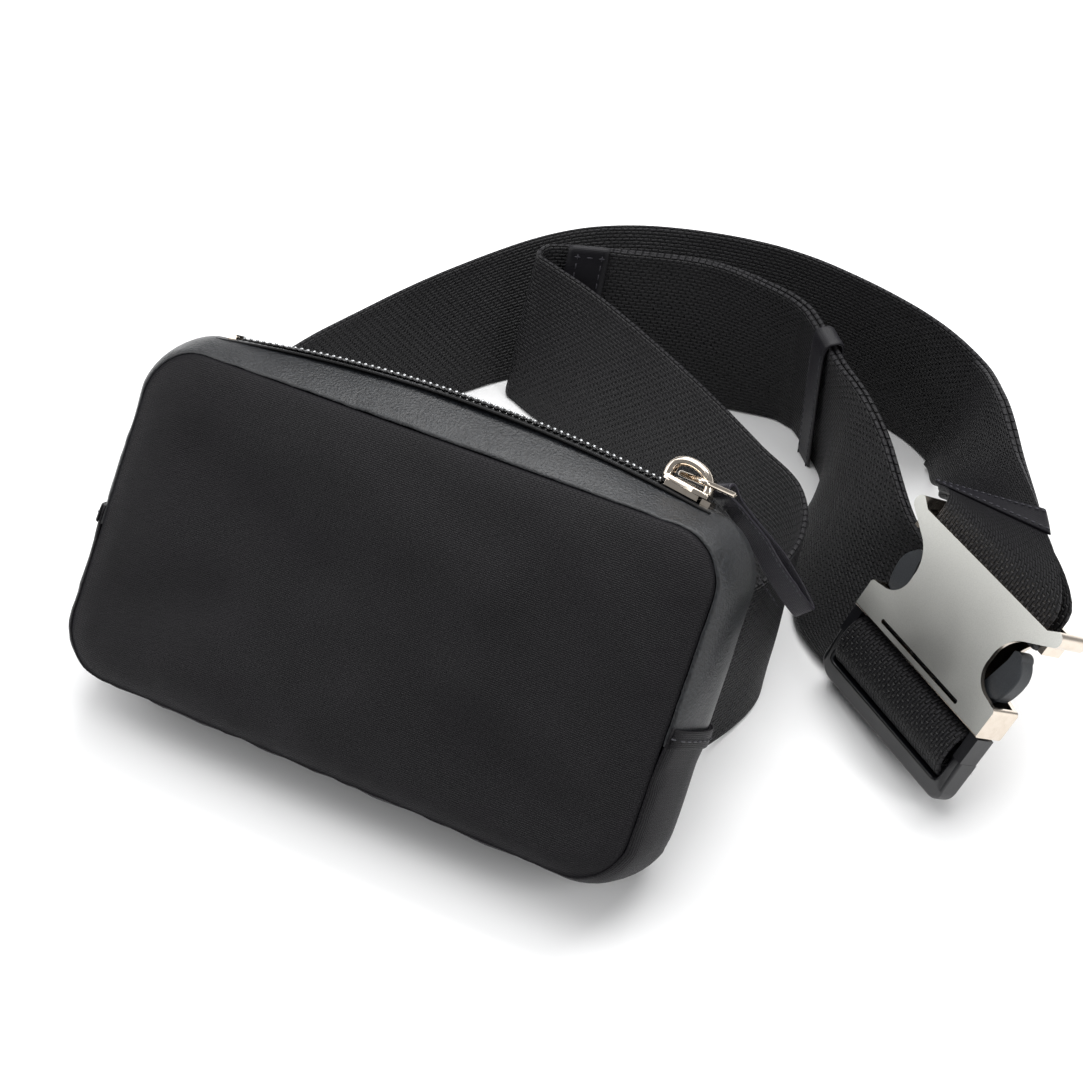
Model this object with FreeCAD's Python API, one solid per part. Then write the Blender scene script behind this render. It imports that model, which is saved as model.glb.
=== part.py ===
import FreeCAD, Part
import math
import os
from FreeCAD import Vector as V

# Waist pack, millimetres, +Z up.
# X runs along the pouch, the front panel faces -Y and leans back on its straps.
# The origin is the middle of the small flat at the lower rear edge that rests on the floor.

# Pouch
PANEL_W = 172.0
PANEL_H = 95.0
DEPTH = 35.0
CORNER_R = 15.0
LEAN = 45.0
CLOTH = 1.2
REST_CHAMFER = 4.0
ARCH = 12.0
ARCH_R = 450.0
HEM_V = 46.0

# Zip
ZIP_HALF = 76.0
TAPE_HALF = 7.0
TOOTH_PITCH = 2.0
TOOTH_LEN = 3.2
TOOTH_W = 1.3
TOOTH_H = 1.6
SLIDER_X = 66.0

# Webbing
WEB_W = 50.0
WEB_T = 1.8

# Buckle
SHELL_W = 58.0
SHELL_T = 11.0
SHELL_WALL = 1.6

os.makedirs("parts", exist_ok=True)


def save(name, *shapes):
    shape = shapes[0] if len(shapes) == 1 else Part.makeCompound(list(shapes))
    shape.exportStep("parts/" + name + ".step")
    print(name, "solids", len(shape.Solids), "valid", shape.isValid(), "volume", round(shape.Volume, 1))


def unit(v):
    w = V(v)
    w.normalize()
    return w


# ---------------------------------------------------------------- pouch frame
# Pouch parts are drawn upright, x along the pouch, y into its depth and z up its face.
SIN = math.sin(math.radians(LEAN))
POUCH = FreeCAD.Placement(
    V(0, -SIN * DEPTH, SIN * (DEPTH - REST_CHAMFER)),
    FreeCAD.Rotation(V(1, 0, 0), -LEAN),
)


def lean(shape):
    out = shape.copy()
    out.Placement = POUCH.multiply(out.Placement)
    return out


def rounded_outline(half_w, low, high, radius, y, arch=0.0):
    """Closed wire of a round-cornered rectangle, its top arched by a share of the zip's arc."""
    r = radius
    k = r * (1 - math.sqrt(0.5))
    a = half_w
    rise = arch * crown(a - r)
    if rise:
        top = Part.Arc(V(a - r, y, high), V(0, y, high + rise), V(-a + r, y, high)).toShape()
    else:
        top = Part.makeLine(V(a - r, y, high), V(-a + r, y, high))
    edges = [
        Part.makeLine(V(-a + r, y, low), V(a - r, y, low)),
        Part.Arc(V(a - r, y, low), V(a - k, y, low + k), V(a, y, low + r)).toShape(),
        Part.makeLine(V(a, y, low + r), V(a, y, high - r)),
        Part.Arc(V(a, y, high - r), V(a - k, y, high - k), V(a - r, y, high)).toShape(),
        top,
        Part.Arc(V(-a + r, y, high), V(-a + k, y, high - k), V(-a, y, high - r)).toShape(),
        Part.makeLine(V(-a, y, high - r), V(-a, y, low + r)),
        Part.Arc(V(-a, y, low + r), V(-a + k, y, low + k), V(-a + r, y, low)).toShape(),
    ]
    return Part.Wire(edges)


def crown(half):
    """Rise of the top edge's long arc over a chord of this half length."""
    return ARCH_R - math.sqrt(ARCH_R ** 2 - half ** 2)


def slab(half_w, low, high, radius, y0, y1):
    face = Part.Face(rounded_outline(half_w, low, high, radius, y0))
    return face.extrude(V(0, y1 - y0, 0))


# The pouch is widest at mid depth: a loft through five outlines.
HALF = PANEL_W / 2
TOP = PANEL_H - crown(HALF - CORNER_R)
SECTIONS = [
    (0.0, HALF, 0.0, PANEL_H, CORNER_R, 0.0),
    (6.0, HALF + 1.6, -1.6, TOP + 8.4, CORNER_R + 2.0, 0.5),
    (DEPTH / 2, HALF + 2.6, -2.2, TOP + ARCH, CORNER_R + 4.0, 1.0),
    (DEPTH - 6.0, HALF + 1.6, -1.2, TOP + 10.2, CORNER_R + 2.0, 0.5),
    (DEPTH, HALF, 0.0, PANEL_H + 2.0, CORNER_R, 0.0),
]


def body_loft(inset):
    """Pouch outer form, drawn in by an inset so that shells can be cut from it."""
    wires = []
    for y, a, low, high, r, arch in SECTIONS:
        wires.append(rounded_outline(a - inset, low + inset, high - inset, r - inset * 0.5, y, arch))
    return Part.makeLoft(wires, True, True)


OUTER = body_loft(0.0)
INNER = body_loft(CLOTH)


def block(x0, x1, y0, y1, z0, z1):
    return Part.makeBox(x1 - x0, y1 - y0, z1 - z0, V(x0, y0, z0))


def rest_cut(shape, inward=0.0):
    """Flat along the lower rear edge, square to the lean, that the pouch rests on."""
    tool = Part.makeBox(400, 400, 60, V(-200, -200, -60))
    tool.translate(V(0, 0, inward))
    tool.rotate(V(0, 0, 0), V(1, 0, 0), LEAN)
    tool.translate(V(0, DEPTH, REST_CHAMFER))
    return shape.cut(tool)


def arc_strip(half_len, y0, y1, rise0, rise1):
    """Strip that follows the zip's long arc, between two radial offsets from it."""
    cz = ZIP_TOP - ARCH_R
    lo = ARCH_R + rise0
    hi = ARCH_R + rise1
    ang = math.asin(half_len / ARCH_R)

    def at(r, t):
        return V(r * math.sin(t), y0, cz + r * math.cos(t))

    edges = [
        Part.Arc(at(hi, -ang), at(hi, 0), at(hi, ang)).toShape(),
        Part.makeLine(at(hi, ang), at(lo, ang)),
        Part.Arc(at(lo, ang), at(lo, 0), at(lo, -ang)).toShape(),
        Part.makeLine(at(lo, -ang), at(hi, -ang)),
    ]
    return Part.Face(Part.Wire(edges)).extrude(V(0, y1 - y0, 0))


MID = DEPTH / 2
ZIP_TOP = TOP + ARCH + crown(HALF + 2.6 - CORNER_R - 4.0)


def pouch_shell():
    """Ring of cloth between the two panels, before it is divided into its pieces."""
    ring = rest_cut(OUTER).cut(rest_cut(INNER, CLOTH))
    return ring.common(block(-200, 200, CLOTH, DEPTH - CLOTH, -50, 200))


def make_pouch():
    front = slab(HALF, 0.0, PANEL_H, CORNER_R, 0.0, CLOTH)
    back = rest_cut(slab(HALF, 0.0, PANEL_H + 2.0, CORNER_R, DEPTH - CLOTH, DEPTH))
    ring = pouch_shell()
    slot = arc_strip(ZIP_HALF, MID - TAPE_HALF, MID + TAPE_HALF, -12, 12)
    upper = ring.common(block(-200, 200, 0, DEPTH, HEM_V, 200)).cut(slot)
    lower = ring.common(block(-200, 200, 0, DEPTH, -50, HEM_V))
    upper_front = upper.common(block(-200, 200, 0, MID, -50, 200))
    upper_rear = upper.common(block(-200, 200, MID, DEPTH, -50, 200))
    save("front_panel", lean(front))
    save("back_panel", lean(back))
    save("gusset_upper_front", lean(upper_front))
    save("gusset_upper_rear", lean(upper_rear))
    save("gusset_lower", lean(lower))
    pad = slab(HALF - 3, 3.0, PANEL_H - 3, CORNER_R - 2, CLOTH, CLOTH + 2.0)
    save("front_lining", lean(pad))
    pad = slab(HALF - 3, 5.0, PANEL_H - 1, CORNER_R - 2, DEPTH - CLOTH - 3.0, DEPTH - CLOTH)
    save("back_padding", lean(pad))
    for side, a, b in (("left", -1, 0), ("right", 0, 1)):
        strip = block(200 * a, 200 * b, 2.0, DEPTH - 2.0, HEM_V - 4, HEM_V)
        hem = body_loft(-0.9).cut(OUTER).common(strip)
        save("gusset_hem_" + side, lean(hem))


# ---------------------------------------------------------------- zip
def swing(shape, x):
    """Carry a shape drawn at the top of the zip's arc along it to the station x."""
    out = shape.copy()
    ang = math.degrees(math.asin(x / ARCH_R))
    out.rotate(V(0, MID, ZIP_TOP - ARCH_R), V(0, 1, 0), ang)
    return out


def make_zip():
    tape = 0.8
    front = arc_strip(ZIP_HALF - 0.4, MID - TAPE_HALF + 0.2, MID - 0.9, -tape, 0)
    rear = arc_strip(ZIP_HALF - 0.4, MID + 0.9, MID + TAPE_HALF - 0.2, -tape, 0)
    save("zip_tape_front", lean(front))
    save("zip_tape_rear", lean(rear))
    count = int(2 * (ZIP_HALF - 6) / TOOTH_PITCH)
    rows = {"front": [], "rear": []}
    for i in range(count + 1):
        x = -ZIP_HALF + 6 + i * TOOTH_PITCH
        y0 = MID - TOOTH_LEN + 0.7
        tooth = block(-TOOTH_W / 2, TOOTH_W / 2, y0, y0 + TOOTH_LEN - 0.75, 0.02, TOOTH_H)
        tooth.translate(V(0, 0, ZIP_TOP))
        rows["front"].append(lean(swing(tooth, x)))
        y0 = MID + 0.05
        if i < count:
            tooth = block(-TOOTH_W / 2, TOOTH_W / 2, y0, y0 + TOOTH_LEN - 0.75, 0.02, TOOTH_H)
            tooth.translate(V(0, 0, ZIP_TOP))
            rows["rear"].append(lean(swing(tooth, x + TOOTH_PITCH / 2)))
    save("zip_teeth_front", *rows["front"])
    save("zip_teeth_rear", *rows["rear"])
    stops = []
    for x in (-ZIP_HALF + 3.5, ZIP_HALF - 3.5):
        stop = block(-1.3, 1.3, MID - 3.0, MID + 3.0, 0.02, 1.8).translate(V(0, 0, ZIP_TOP))
        stops.append(lean(swing(stop, x)))
    save("zip_stops", *stops)


def make_slider():
    """Cap of the slider, its two side flanges and the bridge that holds the ring."""
    z = ZIP_TOP
    length = 13.0
    nose = Part.makePolygon([
        V(-length / 2, MID - 3.6, z + 2.0),
        V(length / 2 - 4, MID - 5.2, z + 2.0),
        V(length / 2, MID - 3.4, z + 2.0),
        V(length / 2, MID + 3.4, z + 2.0),
        V(length / 2 - 4, MID + 5.2, z + 2.0),
        V(-length / 2, MID + 3.6, z + 2.0),
        V(-length / 2, MID - 3.6, z + 2.0),
    ])
    cap = Part.Face(nose).extrude(V(0, 0, 1.5))
    cap = cap.makeFillet(0.6, [e for e in cap.Edges if abs(e.BoundBox.ZMin - z - 3.5) < 0.01])
    flanges = []
    for s in (-1, 1):
        y0 = MID + s * 3.4 - 0.6
        flanges.append(block(-length / 2 + 1, length / 2 - 2, y0, y0 + 1.2, z + 0.4, z + 2.2))
    body = cap
    for f in flanges:
        body = body.fuse(f)
    save("slider_body", lean(swing(body.removeSplitter(), SLIDER_X)))
    outer = Part.makePolygon([V(-5.8, 0, 3.51), V(-5.6, 0, 6.2), V(-3.6, 0, 8.0), V(1.4, 0, 8.0),
                              V(3.6, 0, 6.5), V(4.6, 0, 3.51), V(3.3, 0, 3.51), V(2.6, 0, 5.6),
                              V(1.0, 0, 6.8), V(-3.0, 0, 6.8), V(-4.2, 0, 5.6), V(-4.4, 0, 3.51),
                              V(-5.8, 0, 3.51)])
    bridge = Part.Face(outer).extrude(V(0, 2.8, 0))
    bridge.translate(V(0, MID - 1.4, z))
    save("slider_bridge", lean(swing(bridge, SLIDER_X)))


# ---------------------------------------------------------------- pull
def slider_point(dx, rise):
    """World position of a point on the slider, given beside and above the zip's arc."""
    ang = math.asin(SLIDER_X / ARCH_R)
    r = ARCH_R + rise
    x = r * math.sin(ang) + dx * math.cos(ang)
    z = r * math.cos(ang) - dx * math.sin(ang)
    return POUCH.multVec(V(x, MID, ZIP_TOP - ARCH_R + z))


RING_PIVOT = slider_point(-0.8, 5.2)
RING_YAW = 50.0
RING_TILT = 5.0
TAPE_TILT = 29.0
ON_POUCH = POUCH.Rotation


def ring_ray(tilt):
    """Direction square to the ring's pin, tilted down from the zip's plane."""
    c = math.cos(math.radians(RING_YAW))
    s = math.sin(math.radians(RING_YAW))
    t = math.radians(tilt)
    return ON_POUCH.multVec(V(c * math.cos(t), s * math.cos(t), -math.sin(t)))


RING_AXIS = ON_POUCH.multVec(V(-math.sin(math.radians(RING_YAW)), math.cos(math.radians(RING_YAW)), 0))
RING_DIR = ring_ray(RING_TILT)
TAPE_DIR = ring_ray(TAPE_TILT + RING_TILT)
RING_LEN = 12.0
RING_HALF = 6.0
RING_WIRE = 0.8
TAPE_LEN = 46.0
TAPE_W = 6.0
TAPE_T = 1.1


def frame_at(origin, along, across):
    """Placement whose x runs along and y across."""
    a = unit(along)
    n = unit(a.cross(across))
    c = n.cross(a)
    m = FreeCAD.Matrix(a.x, c.x, n.x, origin.x, a.y, c.y, n.y, origin.y, a.z, c.z, n.z, origin.z, 0, 0, 0, 1)
    return FreeCAD.Placement(m)


def placed(shape, placement):
    out = shape.copy()
    out.Placement = placement.multiply(out.Placement)
    return out


def ring_shape():
    """Round wire bent to a D: a straight pin through the bridge and a bowed end."""
    h = RING_HALF
    end = RING_LEN
    near = 1.6
    far = 2.2
    wire = None
    corners = [(near, h - near, near, 90), (end - far, h - far, far, 0),
               (end - far, -h + far, far, 270), (near, -h + near, near, 180)]
    for cx, cy, r, start in corners:
        bend = Part.makeTorus(r, RING_WIRE, V(cx, cy, 0), V(0, 0, 1), -180, 180, 90)
        bend.rotate(V(cx, cy, 0), V(0, 0, 1), start)
        wire = bend if wire is None else wire.fuse(bend)
    runs = [(V(0, -h + near, 0), V(0, h - near, 0)), (V(near, h, 0), V(end - far, h, 0)),
            (V(end, h - far, 0), V(end, -h + far, 0)), (V(end - far, -h, 0), V(near, -h, 0))]
    for a, b in runs:
        wire = wire.fuse(Part.makeCylinder(RING_WIRE, (b - a).Length, a, b - a))
    return wire.removeSplitter()


def make_pull():
    ring = placed(ring_shape(), frame_at(RING_PIVOT, RING_DIR, RING_AXIS))
    save("pull_ring", ring)
    grip = RING_PIVOT + RING_DIR * RING_LEN
    place = frame_at(grip, TAPE_DIR, RING_AXIS)
    eye_r = RING_WIRE + 0.35
    w = TAPE_W / 2
    # Profile of the folded tape in the plane of its length and thickness, opened out as a loop below.
    eye = Part.makeCylinder(eye_r + TAPE_T, TAPE_W, V(0, -w, 0), V(0, 1, 0))
    eye = eye.cut(Part.makeCylinder(eye_r, TAPE_W + 2, V(0, -w - 1, 0), V(0, 1, 0)))
    stem = block(1.9, 17.0, -w, w, -TAPE_T, TAPE_T)
    head = eye.fuse(stem)
    head = head.cut(Part.makeCylinder(eye_r, TAPE_W + 2, V(0, -w - 1, 0), V(0, 1, 0))).removeSplitter()
    save("pull_tape_head", placed(head, place))
    mid = 31.0
    bow = 4.2
    side = [
        Part.Arc(V(17, 0, 0), V(mid, 0, bow), V(TAPE_LEN, 0, 1.4)).toShape(),
        Part.Arc(V(TAPE_LEN, 0, 1.4), V(TAPE_LEN + 1.4, 0, 0), V(TAPE_LEN, 0, -1.4)).toShape(),
        Part.Arc(V(TAPE_LEN, 0, -1.4), V(mid, 0, -bow), V(17, 0, 0)).toShape(),
    ]
    outer = Part.Face(Part.Wire(side)).extrude(V(0, TAPE_W, 0))
    side = [
        Part.Arc(V(20, 0, 0), V(mid, 0, bow - TAPE_T), V(TAPE_LEN - 0.6, 0, 0.6)).toShape(),
        Part.Arc(V(TAPE_LEN - 0.6, 0, 0.6), V(TAPE_LEN, 0, 0), V(TAPE_LEN - 0.6, 0, -0.6)).toShape(),
        Part.Arc(V(TAPE_LEN - 0.6, 0, -0.6), V(mid, 0, -bow + TAPE_T), V(20, 0, 0)).toShape(),
    ]
    inner = Part.Face(Part.Wire(side)).extrude(V(0, TAPE_W, 0))
    loop = outer.cut(inner)
    loop.translate(V(0, -w, 0))
    loop = loop.cut(stem)
    save("pull_tape_loop", placed(loop, place))


# ---------------------------------------------------------------- buckle frame
# Buckle parts are drawn with x across the webbing, y from the male end to the female
# end and z out of the face; the middle of the shell's mouth is the origin.
BUCKLE_AT = V(130.8, 76.1, 28.2)
BUCKLE_ACROSS = V(0.80, -0.59, 0.08)
BUCKLE_LONG = V(0.29, 0.50, 0.81)
BUCKLE = frame_at(BUCKLE_AT, BUCKLE_ACROSS, BUCKLE_LONG)


def in_buckle(x, y, z):
    return BUCKLE.multVec(V(x, y, z))


SHELL_IN = SHELL_W / 2 - SHELL_WALL
THROAT = 9.4
FAR_END = 34.0
BAR_Y = 31.0

# ---------------------------------------------------------------- webbing routes
# Each station is the lower and the upper edge of the webbing where it stands or leans.
LEFT_ROUTE = [
    (V(-58, 18.8, 13.3), V(-58, 54.2, 48.6)),
    (V(-77, 18.8, 13.3), V(-77, 54.2, 48.6)),
    (V(-84, 24, 11), V(-84, 59, 46.6)),
    (V(-88, 42, 7), V(-87, 76, 43.7)),
    (V(-86, 70, 2), V(-84, 101, 41)),
    (V(-77, 96, 0), V(-75, 127, 39)),
    (V(-60, 128, 0), V(-59, 158, 39)),
    (V(-38, 158, 0), V(-39, 189, 38)),
    (V(-13, 176, 0), V(-14, 203, 41)),
    (V(25, 190, 0), V(25, 208, 46)),
    (V(62, 197, 0), V(62, 203, 49.5)),
    (V(87, 192, 0), V(92, 194, 49.8)),
    (V(103, 182, 1), V(112, 182, 50)),
    (V(109, 168, 8), V(124, 164, 55)),
    (V(113, 156, 18), V(138, 138, 57)),
    (V(117, 132, 40), V(154, 106, 61)),
]
LEFT_END = (in_buckle(-25, 38.5, -8.30), in_buckle(25, 38.5, -8.30))
FOLD_END = (in_buckle(-25, 38.5, -2.75), in_buckle(25, 38.5, -2.75))
RIGHT_FIRST = [
    (V(58, 18.8, 13.3), V(58, 54.2, 48.6)),
    (V(67, 19.6, 12.9), V(67, 55, 48.2)),
    (V(76, 28, 7.5), V(76.5, 62.5, 44.5)),
    (V(84, 45, 2), V(84.5, 76.5, 41.5)),
    (V(89, 68, 0), V(87.5, 98, 39.5)),
    (V(81, 87, 0), V(80, 116, 40)),
    (V(64, 98, 0), V(63, 127, 40)),
    (V(40, 112, 0), V(41, 140, 41)),
    (V(16, 126, 0), V(17, 152, 42)),
    (V(-8, 139, 0), V(-7, 163, 44)),
    (V(-29, 148, 0), V(-28, 170, 45)),
]
RIGHT_TURN = [
    (V(-29, 148, 0), V(-28, 170, 45)),
    (V(-34.5, 150.5, 0), V(-33.5, 172, 45)),
    (V(-35, 155, 0), V(-34, 176, 45)),
    (V(-30, 159, 0), V(-29, 179, 45)),
]
RIGHT_BACK = [
    (V(-30, 159, 0), V(-29, 179, 45)),
    (V(-8, 168, 0), V(-7, 185, 47)),
    (V(18, 176, 0), V(18, 191, 48)),
    (V(45, 182, 0), V(42, 187, 49.5)),
    (V(55, 181, 0), V(54, 183, 50)),
    (V(61, 177.5, 0), V(61, 177.5, 50)),
]
KEEP_A = (V(61, 177.5, 0), V(61, 177.5, 50))
KEEP_B = (V(75, 162.5, 0), V(75, 162.5, 50))
RIGHT_DOWN = [
    (V(75, 162.5, 0), V(75, 162.5, 50)),
    (V(77, 152, 0), V(85, 154, 49)),
    (V(77, 140, 0), V(98, 141, 45)),
    (V(80, 124, 0), V(112, 124, 38.5)),
    (V(88, 104, 0), V(128, 110, 28)),
    (V(95, 96, 0), V(138, 90, 20)),
    (V(104, 91, 0), V(146, 71, 13)),
    (in_buckle(-25, -14, -14.6), in_buckle(25, -14, -14.6)),
]


def section(low, high, normal, front, back):
    """Rectangle across the webbing between two offsets from its middle plane."""
    pts = [low + normal * front, high + normal * front, high + normal * back, low + normal * back]
    return [V(p.x, p.y, max(p.z, 0.0)) for p in pts]


def ruled(sections):
    """Closed solid through a list of four-cornered sections, with straight rulings."""
    faces = []
    for a, b in zip(sections, sections[1:]):
        for i in range(4):
            j = (i + 1) % 4
            faces.append(Part.makeRuledSurface(Part.makeLine(a[i], a[j]), Part.makeLine(b[i], b[j])))
    for c in (sections[0], sections[-1]):
        faces.append(Part.makeRuledSurface(Part.makeLine(c[0], c[1]), Part.makeLine(c[3], c[2])))
    shell = Part.makeShell(faces)
    shell.sewShape()
    solid = Part.makeSolid(shell)
    if not solid.isValid():
        solid = faceted(sections)
    if solid.Volume < 0:
        solid.reverse()
    return solid


def faceted(sections):
    """The same solid with each ruled side as two flat triangles."""
    faces = []
    for a, b in zip(sections, sections[1:]):
        for i in range(4):
            j = (i + 1) % 4
            faces.append(Part.Face(Part.makePolygon([a[i], a[j], b[j], a[i]])))
            faces.append(Part.Face(Part.makePolygon([a[i], b[j], b[i], a[i]])))
    for c in (sections[0], sections[-1]):
        faces.append(Part.Face(Part.makePolygon([c[0], c[1], c[2], c[0]])))
        faces.append(Part.Face(Part.makePolygon([c[0], c[2], c[3], c[0]])))
    shell = Part.makeShell(faces)
    shell.sewShape()
    return Part.makeSolid(shell)


SPAN = 3


def smooth(route):
    """More stations along a route, on curves through the given edges, at the full width."""
    out = []
    n = len(route)
    for i in range(n - 1):
        for k in range(SPAN):
            t = k / SPAN
            pair = []
            for e in (0, 1):
                p0 = route[max(i - 1, 0)][e]
                p1 = route[i][e]
                p2 = route[i + 1][e]
                p3 = route[min(i + 2, n - 1)][e]
                q = p1 * 2 + (p2 - p0) * t
                q += (p0 * 2 - p1 * 5 + p2 * 4 - p3) * (t * t)
                q += (p1 * 3 - p0 - p2 * 3 + p3) * (t * t * t)
                pair.append(q * 0.5)
            pair[0].z = max(pair[0].z, 0.0)
            out.append((pair[0], pair[0] + unit(pair[1] - pair[0]) * WEB_W))
    low, high = route[-1]
    out.append((low, low + unit(high - low) * WEB_W))
    return out


def normals(route):
    out = []
    for i in range(len(route)):
        a = route[max(i - 1, 0)]
        b = route[min(i + 1, len(route) - 1)]
        run = (b[0] + b[1]) - (a[0] + a[1])
        n = run.cross(route[i][1] - route[i][0])
        out.append(unit(n))
    return out


def band(route, first, last, front=None, back=None):
    """Webbing between two stations of a route, as a ruled band of constant thickness."""
    f = -WEB_T / 2 if front is None else front
    b = WEB_T / 2 if back is None else back
    ns = normals(route)
    return ruled([section(*route[i], ns[i], f, b) for i in range(first * SPAN, last * SPAN + 1)])


def make_left_strap():
    r = smooth(LEFT_ROUTE)
    save("strap_left_anchor", band(r, 0, 2))
    save("strap_left_side", band(r, 2, 5))
    save("strap_left_back", band(r, 5, 8))
    save("strap_left_long", band(r, 8, 11))
    save("strap_left_corner", band(r, 11, 12))
    save("strap_left_rise", band(r, 12, 15))
    ns = normals(r)
    out = BUCKLE.Rotation.multVec(V(0, 0, 1))
    half = WEB_T / 2
    over = half + 0.15
    low, high = r[-1]
    main = [section(low, high, ns[-1], -half, half), section(*LEFT_END, out, -half, half)]
    save("strap_left_neck", ruled(main))
    fold = [section(low, high, ns[-1], over, over + WEB_T), section(*FOLD_END, out, -half, half)]
    save("strap_left_fold", band(r, 12, 15, over, over + WEB_T))
    save("strap_left_fold_neck", ruled(fold))
    top = over + WEB_T + 0.15
    wires = []
    for i in (15 * SPAN - 1, 15 * SPAN):
        low, high = r[i]
        side = unit(high - low) * 1.2
        wires.append(section(low - side, high + side, ns[i], top, top + 0.9))
    save("strap_left_binding", ruled(wires))
    ring = Part.makeCylinder(3.75, WEB_W, V(-WEB_W / 2, BAR_Y, -5.5), V(1, 0, 0))
    ring = ring.common(Part.makeBox(WEB_W, 4, 8, V(-WEB_W / 2, BAR_Y - 4, -9.5)))
    legs = []
    for z in (-9.25, -3.55):
        legs.append(Part.makeBox(WEB_W, 38.5 - BAR_Y, WEB_T, V(-WEB_W / 2, BAR_Y, z)))
    loop = ring.fuse(legs[0]).fuse(legs[1])
    loop = loop.cut(Part.makeCylinder(1.95, WEB_W + 2, V(-WEB_W / 2 - 1, BAR_Y, -5.5), V(1, 0, 0)))
    save("strap_left_loop", placed(loop.removeSplitter(), BUCKLE))


def make_right_strap():
    whole = smooth(RIGHT_FIRST[:-1] + RIGHT_TURN + RIGHT_BACK[1:] + RIGHT_DOWN)
    i = len(RIGHT_FIRST) - 1
    j = i + len(RIGHT_TURN) - 1
    k = j + len(RIGHT_BACK) - 1
    m = k + 1
    last = k + len(RIGHT_DOWN)
    save("strap_right_anchor", band(whole, 0, 2))
    save("strap_right_side", band(whole, 2, 4))
    save("strap_right_bend", band(whole, 4, 6))
    save("strap_right_first", band(whole, 6, i))
    save("strap_right_turn", band(whole, i, j))
    save("strap_right_back", band(whole, j, k - 2))
    save("strap_right_keep", band(whole, k - 2, m))
    save("strap_right_down", band(whole, m, last - 3))
    save("strap_right_under", band(whole, last - 3, last))
    f = WEB_T / 2 + 0.2
    b = f + WEB_T
    save("strap_tail_back", band(whole, j + 1, k - 2, f, b))
    save("strap_tail_keep", band(whole, k - 2, m, f, b))
    save("strap_tail_down", band(whole, m, last - 3, f, b))
    save("strap_tail_under", band(whole, last - 3, last, f, b))
    save("strap_tail_tab", band(whole, j, j + 1, f - 0.1, b + 0.4))


KEEPER_LEN = 9.0
KEEPER_GAP = 0.85
KEEPER_T = 1.3


def make_keeper():
    mid = (KEEP_A[0] + KEEP_B[0]) * 0.5
    run = unit(KEEP_B[0] - KEEP_A[0])
    n = unit(run.cross(V(0, 0, 1)))
    f0 = -WEB_T / 2 - KEEPER_GAP
    f1 = WEB_T / 2 + 0.15 + WEB_T + KEEPER_GAP
    place = frame_at(mid - run * KEEPER_LEN / 2, run, n * -1)
    tall = WEB_W + 0.4 + KEEPER_GAP
    outer = Part.makeBox(KEEPER_LEN, f1 - f0 + 2 * KEEPER_T, tall + KEEPER_T)
    outer.translate(V(0, -f1 - KEEPER_T, 0))
    inner = Part.makeBox(KEEPER_LEN + 2, f1 - f0, tall + 1)
    inner.translate(V(-1, -f1, -1))
    loop = outer.cut(inner)
    save("keeper_loop", placed(loop, place))


# ---------------------------------------------------------------- buckle
def outline(points):
    """Closed flat wire; a point given with a third value is the middle of an arc."""
    edges = []
    i = 0
    n = len(points)
    while i < n:
        a = points[i]
        b = points[(i + 1) % n]
        if len(b) == 3:
            c = points[(i + 2) % n]
            edges.append(Part.Arc(V(a[0], a[1], 0), V(b[0], b[1], 0), V(c[0], c[1], 0)).toShape())
            i += 2
        else:
            edges.append(Part.makeLine(V(a[0], a[1], 0), V(b[0], b[1], 0)))
            i += 1
    return Part.Wire(edges)


def plate(points, z0, z1):
    face = Part.Face(outline(points))
    face.translate(V(0, 0, z0))
    return face.extrude(V(0, 0, z1 - z0))


def mirrored(points):
    return [(-p[0],) + tuple(p[1:]) for p in reversed(points)]


def shell_outline():
    w = SHELL_W / 2
    right = [
        (w, 0.0), (w, THROAT - 1.5), (w - 0.4, THROAT - 0.3, 0), (w - 1.6, THROAT),
        (w - 4.5, THROAT + 0.6), (w - 9.6, THROAT + 3.4, 0), (w - 11.0, THROAT + 9.0),
        (w - 9.8, THROAT + 15.0, 0), (w - 5.0, THROAT + 19.6),
        (w + 2.2, 33.0), (w + 3.4, 36.4, 0), (w + 1.4, 37.6),
        (w - 2.0, FAR_END + 1.4),
    ]
    return right + mirrored(right)


def make_shell():
    """Metal female end: a flat box open at both ends, with a finger notch in each side."""
    outer = plate(shell_outline(), -SHELL_T, 0)
    lips = [e for e in outer.Edges if e.BoundBox.YMax < 0.01 and e.BoundBox.XLength > 40]
    outer = outer.makeFillet(0.7, lips)
    room = Part.makeBox(2 * SHELL_IN, 60, SHELL_T - 2 * SHELL_WALL)
    room.translate(V(-SHELL_IN, -1, -SHELL_T + SHELL_WALL))
    tips = Part.makeBox(2 * SHELL_IN + 10, 20, SHELL_T - 2 * SHELL_WALL)
    tips.translate(V(-SHELL_IN - 5, FAR_END - 4.6, -SHELL_T + SHELL_WALL))
    slot = plate([(-17, 2.1), (17, 2.1), (18, 2.75, 0), (17, 3.4), (-17, 3.4), (-18, 2.75, 0)], -2, 1)
    shell = outer.cut(room).cut(slot)
    walls = []
    for s in (-1, 1):
        x = s * (SHELL_IN + 0.8) - 0.8
        walls.append(Part.makeBox(1.6, 5.4, SHELL_T - 2 * SHELL_WALL, V(x, BAR_Y - 2.0, -SHELL_T + SHELL_WALL)))
    for wall in walls:
        shell = shell.fuse(wall)
    save("buckle_shell", placed(shell.removeSplitter(), BUCKLE))
    bar = Part.makeCylinder(1.9, 2 * SHELL_IN, V(-SHELL_IN, BAR_Y, -SHELL_T / 2), V(1, 0, 0))
    save("buckle_shell_bar", placed(bar, BUCKLE))


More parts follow.
